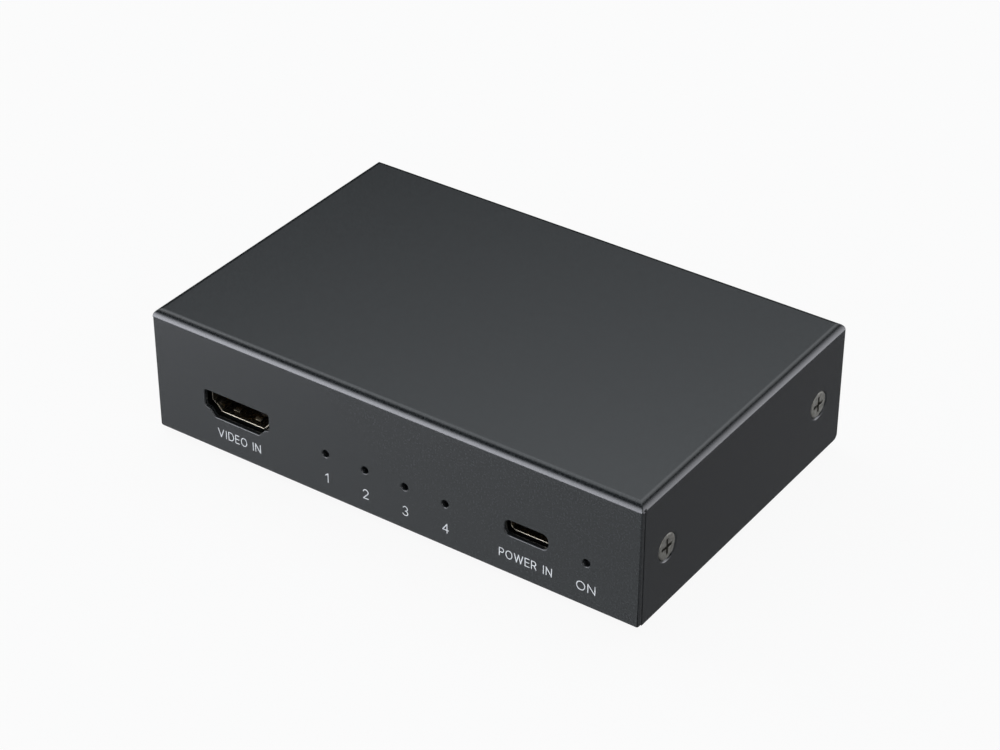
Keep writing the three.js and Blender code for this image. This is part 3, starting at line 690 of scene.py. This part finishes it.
def bentShell(spec):
    halfX, halfY = coverHigh.x, coverHigh.y
    bottom, top = coverLow.z, coverHigh.z

    def bent(inward, radius, low, steps, sharp):
        rings = [ringAt(rectangle(halfX - inward, halfY - inward, sharp), low)]
        for k in range(steps + 1):
            turn = math.pi / 2 * k / steps
            drawIn = inward + radius * (1 - math.cos(turn))
            corner = sharp * (1 - spec["roundLost"] * k / steps)
            rings.append(ringAt(rectangle(halfX - drawIn, halfY - drawIn, corner),
                                top - inward - radius + radius * math.sin(turn)))
        return loft(rings)

    outer = bent(0, spec["bend"], bottom, spec["bendSteps"], spec["cornerRound"])
    innerBend = spec["bend"] - spec["sheet"]
    inner = bent(spec["sheet"], innerBend, bottom - 1, spec["innerSteps"], spec["innerRound"])
    return outer, inner


def coverCuts(spec):
    halfX, halfY = coverHigh.x, coverHigh.y
    bottom, top = coverLow.z - 1, coverHigh.z
    seamEnd = top - spec["seamTop"] - spec["relief"]
    behindFront = -halfY + spec["sheet"]
    seams, insets, uprights, rounds, holes = [], [], [], [], []
    for side in (-1, 1):
        inside, outside = side * (halfX - spec["sheet"] - hair), side * (halfX + 1)
        front = keyhole(spec["seam"] / 2, spec["relief"], bottom, (behindFront + spec["seam"] / 2, seamEnd))
        seams.append(prism(front, inside, outside, "X"))
        besideRear = side * (halfX - spec["sheet"] - spec["seam"] / 2)
        rear = keyhole(spec["seam"] / 2, spec["relief"], bottom, (besideRear, seamEnd))
        seams.append(prism(rear, halfY - spec["sheet"] - spec["bend"], halfY + 1, "Y"))
        flangeEnd = side * (halfX - spec["frontInset"])
        near, far = sorted((flangeEnd, outside))
        insets.append(block((near, -halfY - 1, bottom),
                            (far, behindFront + spec["seam"] / 2, top - spec["bend"])))
        upright = quarterOutside((flangeEnd, -halfY), (side, -1), spec["flangeEdge"])
        uprights.append(prism(upright, bottom, top - spec["bend"] - hair))
        sideCorner = quarterOutside((halfY, coverLow.z), (1, -1), spec["rearCorner"])
        rounds.append(prism(sideCorner, inside, outside, "X"))
        frontCorner = quarterOutside((flangeEnd, coverLow.z), (side, -1), spec["panelCorner"])
        rounds.append(prism(frontCorner, -halfY - 1, behindFront + hair, "Y"))
        for end in (-1, 1):
            wide, narrow = spec["screwMouth"], spec["screwMouth"] - spec["sheet"]
            place = (end * sideScrew["y"], sideScrew["z"])
            cone = ((narrow, halfX - 2), (narrow, halfX - 1), (wide, halfX), (wide, halfX + 1))
            rings = [ringAt(circle(radius, 64, place), side * level, "X") for radius, level in cone]
            holes.append(loft(rings))
    through = (-halfY - 1, -halfY + 2)
    holes.append(prism(shifted(videoOutline(0), video["inX"], video["axis"]), *through, "Y"))
    holes.append(prism(shifted(socketOutline(0), socket["x"], socket["axis"]), *through, "Y"))
    for x in lampX + [lamps["powerX"]]:
        holes.append(prism(circle(spec["lampHole"], 40, (x, lamps["axis"])), *through, "Y"))
    for x in video["outX"]:
        holes.append(prism(shifted(videoOutline(0), x, video["axis"]), halfY - 2, halfY + 1, "Y"))
    return [together(seams), together(insets), together(uprights), together(rounds), together(holes)]


outer, inner = bentShell(cover)
coverSheet = addPiece("coverSheet", outer, powderCoatedSteel)
combine(coverSheet, [inner] + coverCuts(cover))


def besideSeam(middle):  # less round along the seams, none at the relief holes above them
    seam, wall = cover["beside"]["seam"], cover["beside"]["wall"]
    down, inwards = cover["reliefZone"]["down"], cover["reliefZone"]["inwards"]
    x, y = abs(middle.x), abs(middle.y)
    front = abs(middle.y + coverHigh.y - cover["sheet"]) < seam and x > coverHigh.x - wall
    rear = abs(x - coverHigh.x + cover["sheet"]) < seam and middle.y > coverHigh.y - wall
    if middle.z > coverHigh.z - down and x > coverHigh.x - inwards and y > coverHigh.y - inwards:
        return 0.0
    if rear and middle.z < coverLow.z + cover["seamFoot"]:
        return 0.0
    return cover["seamEdge"] if front or rear else 1.0


soften(coverSheet, cover["edge"], share=besideSeam)
finish(coverSheet, ["cover"])


def refined(name, nodes, material, edge, segments=2):  # CAD shapes with their edges rounded
    work = bmesh.new()
    for node in nodes:
        work.from_mesh(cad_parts[node].data)
    bmesh.ops.remove_doubles(work, verts=work.verts, dist=0.001 * mm)
    bmesh.ops.dissolve_limit(work, angle_limit=math.radians(1), verts=work.verts, edges=work.edges)
    return soften(addWorked(name, bpy.data.meshes.new(name), work, material), edge, segments)


def merged(name, items):  # several pieces of one material as one
    work = bmesh.new()
    for item in items:
        work.from_mesh(item.data)
    whole = addWorked(name, bpy.data.meshes.new(name), work, items[0].data.materials[0])
    drop(*items)
    return soften(whole)


# base: shallow channel inside the cover, sides turned up, a tapped collar behind each side screw
baseLow, baseHigh = boxMm("base_plate")
base = dict(
    sheet=1.0, bend=1.6, endCut=3.0, edge=0.12,
    collar=2.4, collarLength=1.2, tapped=1.45,
    clinch=2.05,  # holes that hold the standoffs
)


def makeBase(spec):
    def channel(inward, spare):
        halfX, bottom = baseHigh.x - inward, baseLow.z + inward
        radius = spec["bend"] - inward
        top = baseHigh.z + spare
        outline = roundCorners([(-halfX, bottom), (halfX, bottom), (halfX, top), (-halfX, top)],
                               [radius, radius, 0.01, 0.01], 12)
        return prism(outline, baseLow.y - spare, baseHigh.y + spare, "Y")

    item = addPiece("baseChannel", channel(0, 0), powderCoatedSteel)
    ends, collars, holes = [], [], []
    for side in (-1, 1):
        inside = baseHigh.y - spec["endCut"]
        near, far = sorted((side * inside, side * (baseHigh.y + 1)))
        ends.append(block((baseLow.x - 1, near, baseLow.z + spec["bend"]),
                          (baseHigh.x + 1, far, baseHigh.z + 1)))
        for end in (-1, 1):
            place = (end * sideScrew["y"], sideScrew["z"])
            start = side * (baseHigh.x - spec["sheet"] / 2)
            stop = side * (baseHigh.x - spec["sheet"] - spec["collarLength"])
            collars.append(prism(circle(spec["collar"], 48, place), start, stop, "X"))
            ways = side * (baseHigh.x + 1), side * (baseHigh.x - 4)
            holes.append(prism(circle(spec["tapped"], 48, place), *ways, "X"))
            clinchPlace = (side * standoff["x"], end * standoff["y"])
            holes.append(prism(circle(spec["clinch"], 48, clinchPlace), 0, baseLow.z + 4))
    combine(item, [channel(spec["sheet"], 2)])
    combine(item, [together(collars)], "UNION")
    combine(item, [together(ends), together(holes)])
    return soften(item, spec["edge"], 2)


standoff = dict(
    x=45.5, y=17.0, low=2.55,
    tube=[(1.75, -0.98), (1.9, -0.85), (1.9, 0), (2.4, 0), (2.5, 0.1), (2.5, 4.4), (2.4, 4.5)],
    core=1.33, thread=0.12, pitch=0.5, threadLow=-1.2, threadHigh=4.7,
    bore=1.36, boreLow=-1.5, boreHigh=5, edge=0.04,
)
finish(makeBase(base), ["base_plate"])


# screws: true helical threads, tapered cross recess
def threaded(spec, axis="Z", count=24, perTurn=8):
    core, depth, pitch = spec["core"], spec["thread"], spec["pitch"]
    low, high = spec["threadLow"], spec["threadHigh"]
    rings = []
    steps = round((high - low) / pitch * perTurn)
    for k in range(steps + 1):
        level = low + (high - low) * k / steps
        fade = min(1, (level - low) / pitch, (high - level) / pitch)
        outline = []
        for i in range(count):
            wave = abs(((level - low) / pitch - i / count) % 1 * 2 - 1)
            radius, turn = core + depth * fade * wave, 2 * math.pi * i / count
            outline.append((radius * math.cos(turn), radius * math.sin(turn)))
        rings.append(ringAt(outline, level, axis))
    return rings


recessShape = [(1.0, 1.0, 0.0), (0.86, 0.9, 0.75), (0.3, 0.6, 1.0)]  # shares of reach, half width, depth
recessMouth = (1.1, 1.15, 0.3)  # shares above the head's face, and how far above


def crossRecess(size, axis="Z", top=0.0):  # cutter that narrows to a blunt point
    def cross(reach, half):
        arm = [complex(reach, -half), complex(reach, half), complex(half, half)]
        turns = [point * 1j ** k for k in range(4) for point in arm]
        return roundCorners([(point.real, point.imag) for point in turns], min(0.08, half * 0.5), 3)

    reach, half, depth = size["reach"], size["half"], size["depth"]
    wider, thicker, above = recessMouth
    rings = [ringAt(cross(reach * wider, half * thicker), top + above, axis)]
    for long, thick, deep in recessShape:
        rings.append(ringAt(cross(reach * long, half * thick), top - depth * deep, axis))
    return loft(rings)


def makeScrew(name, spec, material, axis):
    rings = [ringAt(circle(radius, 24), level, axis) for radius, level in spec["tip"]]
    rings += threaded(spec, axis)
    shank = addPiece(name, loft(rings), material)
    head = turned(spec["head"], 64, axis)
    combine(shank, [head], "UNION")
    combine(shank, [crossRecess(spec["recess"], axis, spec["top"])])
    return soften(shank, spec["edge"], 2)


countersunk = dict(
    core=1.28, thread=0.12, pitch=0.5, threadLow=-4.7, threadHigh=-1.3, top=0.0, edge=0.03,
    tip=[(0.95, -5.0), (1.15, -4.85)],
    head=[(1.25, -1.5), (1.3, -1.15), (2.52, -0.2), (2.59, -0.16), (2.6, -0.12), (2.57, -0.06), (2.5, -0.02),
          (2.38, 0.0)],
    recess=dict(reach=1.74, half=0.31, depth=1.4),
)
panHead = dict(
    core=1.28, thread=0.12, pitch=0.5, threadLow=-4.7, threadHigh=-0.1, top=1.8, edge=0.03,
    tip=[(0.95, -5.0), (1.15, -4.85)],
    head=[(1.4, -0.3), (1.4, 0.0), (2.6, 0.0), (2.72, 0.08), (2.75, 0.25), (2.72, 0.9), (2.55, 1.35),
          (2.15, 1.66), (1.5, 1.78), (0.8, 1.8)],
    recess=dict(reach=1.5, half=0.28, depth=1.3),
)
screwSource = makeScrew("screwSource", countersunk, made["greyPassivatedZinc"], "X")
headToHead = 2 * (round(coverHigh.x, 3) - sideScrew["sunk"])
sideScrews = repeat("sideScrews", screwSource, (2, 2), (headToHead, 2 * sideScrew["y"]),
                    (0, 0, sideScrew["z"]), outwards=True)
finish(sideScrews, ["side_screw_" + name for name in corners])
panSource = makeScrew("panSource", panHead, made["brightZincPlate"], "Z")
underHead = 8.75  # the board's upper face, where the board screws' heads seat
standoffPitch = (2 * standoff["x"], 2 * standoff["y"])
boardScrews = repeat("boardScrews", panSource, (2, 2), standoffPitch, (0, 0, underHead))
finish(boardScrews, ["board_screw_" + name for name in corners])

# standoffs clinched into the base, threaded right through
tube = addPiece("tube", turned(standoff["tube"]), made["brightZincPlate"])
boreEnds = [ringAt(circle(standoff["bore"], 24), standoff[level]) for level in ("boreLow", "boreHigh")]
combine(tube, [loft(boreEnds[:1] + threaded(standoff) + boreEnds[1:])])
soften(tube, standoff["edge"], 2)
standoffs = repeat("standoffs", tube, (2, 2), standoffPitch, (0, 0, standoff["low"]))
finish(standoffs, ["standoff_" + name for name in corners])

# feet: moulded domes, a shallow dish in the sole
foot = dict(
    pitch=(92, 54),
    section=[(2.4, 0.16), (2.9, 0.1), (3.2, 0.02), (3.4, 0.0), (3.62, 0.03), (3.84, 0.14), (3.96, 0.32),
             (4.0, 0.55), (4.0, 1.45)],
)
footSource = addPiece("footSource", turned(foot["section"], 64), made["mouldedRubber"])
soften(footSource)
rubberFeet = repeat("rubberFeet", footSource, (2, 2), foot["pitch"], (0, 0, 0))
finish(rubberFeet, ["rubber_foot_" + name for name in corners])
drop(screwSource, panSource, tube, footSource)


# video connectors, each about its own axis with the mouth at y = 0: drawn shell, moulding, contacts
shellFinger = dict(
    x=2.6, half=0.7, gap=0.16, thick=0.13, back=4.5, front=1.15,
    rise=[(4.7, 0.0), (4.2, 0.02), (3.6, 0.16), (3.0, 0.36), (2.5, 0.46), (2.1, 0.46), (1.7, 0.36),
          (1.35, 0.18)],
)


def drawnShell(outline, spec, steps=5):  # body and hollow of a shell whose mouth is rolled round
    rim = spec["rim"]
    outer, hollow = [], [ringAt(outline(spec["fit"] + spec["wall"] - rim), -1, "Y")]
    for k in range(steps + 1):
        turn = math.pi / 2 * (1 - k / steps)
        back, aside = rim * (1 - math.sin(turn)), rim * (1 - math.cos(turn))
        outer.append(ringAt(outline(spec["fit"] + aside), back, "Y"))
        hollow.append(ringAt(outline(spec["fit"] + spec["wall"] - aside), back, "Y"))
    outer.append(ringAt(outline(spec["fit"]), spec["depth"], "Y"))
    hollow.append(ringAt(outline(spec["fit"] + spec["wall"]), spec["depth"] - spec["wall"], "Y"))
    return loft(outer), loft(hollow)


def shellLegs(spec):  # soldered legs in line with both side walls
    half, legs = spec["wall"] / 2, spec["legs"]
    x = spec["width"] / 2 - spec["fit"] - half
    return together([block((side * x - half, y - legs["half"], legs["low"]),
                           (side * x + half, y + legs["half"], legs["top"]))
                     for side in (-1, 1) for y in legs["at"]])


def makeMoulding(name, outline, spec):  # plug at the shell's back with a tongue towards its mouth
    back = spec["depth"] - spec["wall"] - mouldFit
    plug = prism(outline(spec["fit"] + spec["wall"] + mouldFit), back - spec["plug"], back, "Y")
    item = addPiece(name, plug, made["glassFilledNylon"])
    sections = spec["tongue"] + [(*spec["tongue"][-1][:3], back - spec["root"])]
    tongue = [ringAt(rectangle(halfWidth, halfHeight, corner, 4), level, "Y")
              for halfWidth, halfHeight, corner, level in sections]
    combine(item, [loft(tongue)], "UNION")
    return soften(item, spec["mouldEdge"], 2)


def makeVideoShell(spec, finger):
    body, hollow = drawnShell(videoOutline, spec)
    item = addPiece("videoShell", body, made["nickelPlatedShell"])
    combine(item, [hollow])
    level = spec["height"] / 2 - spec["fit"] - spec["wall"] / 2
    windows, tabs = [], []
    for side in (-1, 1):
        for up in (-1, 1):
            half = finger["half"] + finger["gap"]
            low, high = sorted((up * level * 0.6, up * 4))
            windows.append(block((side * finger["x"] - half, finger["front"], low),
                                 (side * finger["x"] + half, finger["back"], high)))
            rings = [ringAt(rectangle(finger["half"], finger["thick"], 0.04, 3,
                                      (side * finger["x"], up * (level - rise))), y, "Y")
                     for y, rise in finger["rise"]]
            tabs.append(loft(rings))
    combine(item, [together(windows)])
    combine(item, [together(tabs), shellLegs(spec)], "UNION")
    return soften(item, spec["deburr"], 2)


def contactStrip(spec, up):  # one spring contact, its nose sloped down
    low, high = up * spec["low"], up * spec["high"]
    front, back, thick = spec["front"], spec["back"], high - low
    points = [(front, low), (back, low), (back, high),
              (front + thick * 1.5, high), (front, low + thick * 0.3)]
    return addPiece("strip", prism(points, -spec["half"], spec["half"], "X"), made["goldFlashedContact"])


def contactRows(name, spec):  # a row above and a row below the tongue
    strips = [contactStrip(spec, 1), contactStrip(spec, -1)]
    rows = [repeat("row", strip, (count, 1), (spec["pitch"], 0), (0, 0, 0))
            for strip, count in zip(strips, spec["counts"])]
    drop(*strips)
    return merged(name, rows)


videoShell = makeVideoShell(video, shellFinger)
videoMoulding = makeMoulding("videoMoulding", videoOutline, video)
videoContacts = contactRows("videoContacts", video["contacts"])
outPitch = video["outX"][0] - video["outX"][1]
outNodes = ["video_out_%d_" % (k + 1) for k in range(len(video["outX"]))]
videoParts = (
    (videoShell, "Shell", "Shells", "nickel_shell", "shell"),
    (videoMoulding, "Moulding", "Mouldings", "black_moulding", "moulding"),
    (videoContacts, "Contacts", "Contacts", "gold_contact", None),
)
for source, one, several, slotName, ending in videoParts:
    front = repeat("videoIn" + one, source, (1, 1), (0, 0), (video["inX"], -mouth, video["axis"]))
    count = (len(video["outX"]), 1)
    rear = repeat("videoOut" + several, source, count, (outPitch, 0), (0, mouth, video["axis"]), turn=180)
    finish(soften(front), ["video_in_" + ending] if ending else ())
    finish(soften(rear), [name + ending for name in outNodes] if ending else ())
drop(videoShell, videoMoulding, videoContacts)


# power socket: seamless oval shell, tongue with contacts on both sides, spacer to the board
def makeSocketShell(spec):
    body, hollow = drawnShell(socketOutline, spec)
    item = addPiece("powerSocketShell", body, made["nickelPlatedShell"])
    combine(item, [hollow])
    combine(item, [shellLegs(spec)], "UNION")
    return soften(item, spec["deburr"], 2)


def shift(item, offset):
    item.data.transform(Matrix.Translation(Vector(offset) * mm))
    return item


socketPlace = (socket["x"], -mouth, socket["axis"])
finish(shift(makeSocketShell(socket), socketPlace), ["power_socket_shell"])
socketMoulding = makeMoulding("powerSocketMoulding", socketOutline, socket)
finish(shift(socketMoulding, socketPlace), ["power_socket_moulding"])
finish(shift(contactRows("powerSocketContacts", socket["contacts"]), socketPlace))

# lamps: right-angle body on the board, domed lens that looks out through its hole
lamp = dict(
    low=(-1.3, 0.5, -2.15), high=(1.3, 2.9, 1.3), edge=0.06,
    lens=[(1.0, -0.8), (1.0, 0.3), (0.97, 0.38), (0.86, 0.46), (0.66, 0.49), (0.3, 0.5)],
)
lampBody = addPiece("lampBody", block(lamp["low"], lamp["high"]), made["smokedEpoxyLens"])
combine(lampBody, [placed(turned(lamp["lens"], 48, "Y"), (0, lamp["low"][1], 0), 180)], "UNION")
soften(lampBody, lamp["edge"], 3)
lampRows = (
    ("portLamps", lamps["count"], lamps["middle"], ["port_lamp_%d" % (k + 1) for k in range(lamps["count"])]),
    ("powerLamp", 1, lamps["powerX"], ["power_lamp"]),
)
for name, count, x, nodes in lampRows:
    item = repeat(name, lampBody, (count, 1), (lamps["pitch"], 0), (x, lamps["y"], lamps["axis"]))
    finish(soften(item), nodes)
drop(lampBody)

# lettering: screen-printed, generic words only, each letter drawn as strokes of one width, cap height 1
def arc(u, v, radiusU, radiusV, start, end, steps=14):
    turns = [math.radians(start + (end - start) * k / steps) for k in range(steps + 1)]
    return [(u + radiusU * math.cos(a), v + radiusV * math.sin(a)) for a in turns]


bowl = [(0, 1), *arc(0.34, 0.73, 0.27, 0.27, 90, -90), (0, 0.46)]
glyphs = {  # width, then strokes
    "V": (0.88, [[(0, 1), (0.44, 0)], [(0.44, 0), (0.88, 1)]]),
    "I": (0.12, [[(0.06, 0), (0.06, 1)]]),
    "D": (0.76, [[(0, 0), (0, 1)], [(0, 1), *arc(0.3, 0.5, 0.46, 0.5, 90, -90), (0, 0)]]),
    "E": (0.58, [[(0, 0), (0, 1)], [(0, 0), (0.6, 0)], [(0, 1), (0.58, 1)], [(0, 0.52), (0.54, 0.52)]]),
    "O": (0.88, [arc(0.44, 0.5, 0.44, 0.5, 90, 270), arc(0.44, 0.5, 0.44, 0.5, -90, 90)]),
    "N": (0.76, [[(0, 0), (0, 1)], [(0, 1), (0.76, 0)], [(0.76, 0), (0.76, 1)]]),
    "P": (0.61, [[(0, 0), (0, 1)], bowl]),
    "W": (1.2, [[(0, 1), (0.3, 0)], [(0.3, 0), (0.6, 1)], [(0.6, 1), (0.9, 0)], [(0.9, 0), (1.2, 1)]]),
    "R": (0.66, [[(0, 0), (0, 1)], bowl, [(0.36, 0.46), (0.66, 0)]]),
    "U": (0.7, [[(0, 1), (0, 0.35), *arc(0.35, 0.35, 0.35, 0.35, 180, 360)[1:], (0.7, 1)]]),
    "T": (0.74, [[(0, 1), (0.74, 1)], [(0.37, 0), (0.37, 1)]]),
    "1": (0.28, [[(0, 0.76), (0.28, 1)], [(0.28, 1), (0.28, 0)]]),
    "2": (0.56, [[*arc(0.28, 0.72, 0.28, 0.28, 170, -35), (0, 0)], [(0, 0), (0.58, 0)]]),
    "3": (0.56, [arc(0.27, 0.745, 0.25, 0.255, 155, -90), arc(0.27, 0.245, 0.29, 0.245, 90, -160)]),
    "4": (0.64, [[(0.48, 0), (0.48, 1)], [(0.48, 1), (0, 0.3)], [(0, 0.3), (0.64, 0.3)]]),
    " ": (0.3, []),
}
lettering = dict(
    stroke=0.18,
    gap=0.34,  # between letters, as a share of the cap height
    thick=0.02,
    sunk=0.005,  # into the coat
    level=5.6,
    front=[
        dict(text="VIDEO IN", x=-34.4, wide=10.1, high=1.75),
        *[dict(text=str(k + 1), x=x + 0.1, wide=None, high=1.95) for k, x in enumerate(lampX)],
        dict(text="POWER IN", x=30.3, wide=11.1, high=1.7),
        dict(text="ON", x=43.0, wide=3.8, high=1.8),
    ],
    rear=[dict(text="OUT %d" % (k + 1), x=x, wide=7.2, high=1.75) for k, x in enumerate(video["outX"])],
)


def ribbon(path, half, capSteps=5):  # outline of a stroke with round ends
    points = [complex(*point) for point in path]
    ways = [(b - a) / abs(b - a) for a, b in zip(points, points[1:])]
    left, right = [], []
    for i, point in enumerate(points):
        before, after = ways[max(i - 1, 0)], ways[min(i, len(ways) - 1)]
        along = (before + after) / abs(before + after)
        reach = half / max((along.conjugate() * after).real, 0.5)
        left.append(point + along * 1j * reach)
        right.append(point - along * 1j * reach)
    caps = []
    for point, way in ((points[-1], ways[-1]), (points[0], -ways[0])):
        turns = [math.pi / 2 - math.pi * k / (capSteps + 1) for k in range(1, capSteps + 1)]
        caps.append([point + way * half * cmath.exp(1j * turn) for turn in turns])
    outline = left + caps[0] + right[::-1] + caps[1]
    return [(point.real, point.imag) for point in outline]


def printedBody(spec, rear):
    widths = [glyphs[letter][0] for letter in spec["text"]]
    gap = lettering["gap"]
    total = sum(widths) + gap * (len(widths) - 1)
    high = spec["high"]
    across = spec["wide"] / total if spec["wide"] else high
    way = -1 if rear else 1
    face = coverHigh.y - lettering["sunk"]
    start, bodies = -total / 2, []
    for letter, width in zip(spec["text"], widths):
        for stroke in glyphs[letter][1]:
            path = [(spec["x"] + way * (start + u) * across, lettering["level"] + (v - 0.5) * high)
                    for u, v in stroke]
            outline = ribbon(path, lettering["stroke"] / 2)
            low, top = (face, face + lettering["thick"]) if rear else (-face, -face - lettering["thick"])
            bodies.append(prism(outline, low, top, "Y"))
        start += width + gap
    return bodies


for side in ("front", "rear"):
    bodies = [body for spec in lettering[side] for body in printedBody(spec, side == "rear")]
    item = addPiece(side + "Lettering", bodies[0], made["screenPrintedInk"])
    for body in bodies[1:]:
        combine(item, [body], "UNION")
    finish(item)

# the remaining CAD shapes take their material, the ones on the board with softened edges
guards = ["video_in_guard"] + [name + "guard" for name in outNodes]
shapes = (
    ("powerSocketSpacer", ["power_socket_spacer"], "glassFilledNylon", "black_moulding", 0.1),
    ("splitterChip", ["splitter_chip"], "mouldedEpoxy", "chip_epoxy", 0.06),
    ("thermalTape", ["thermal_tape"], "siliconeTape", "thermal_tape", 0.06),
    ("heatSink", ["heat_sink"], "blackAnodisedAluminium", "black_anodised", 0.12),
    ("controlChip", ["control_chip"], "mouldedEpoxy", "chip_epoxy", 0.05),
    ("crystalCan", ["crystal"], "drawnCan", "tinned_can", 0.35),
    ("surgeGuards", guards, "mouldedEpoxy", "chip_epoxy", 0.05),
    ("regulatorChip", ["regulator"], "mouldedEpoxy", "chip_epoxy", 0.06),
    ("powerCoil", ["power_coil"], "sinteredFerrite", "ferrite", 0.25),
    ("supplyCans", ["supply_can_1", "supply_can_2"], "drawnCan", "tinned_can", 0.1),
)
for name, nodes, material, slotName, edge in shapes:
    finish(refined(name, nodes, made[material], edge), nodes)

boardPiece = refined("circuitBoard", ["circuit_board"], made["solderMaskedLaminate"], 0.05)
finish(boardPiece, ["circuit_board"])
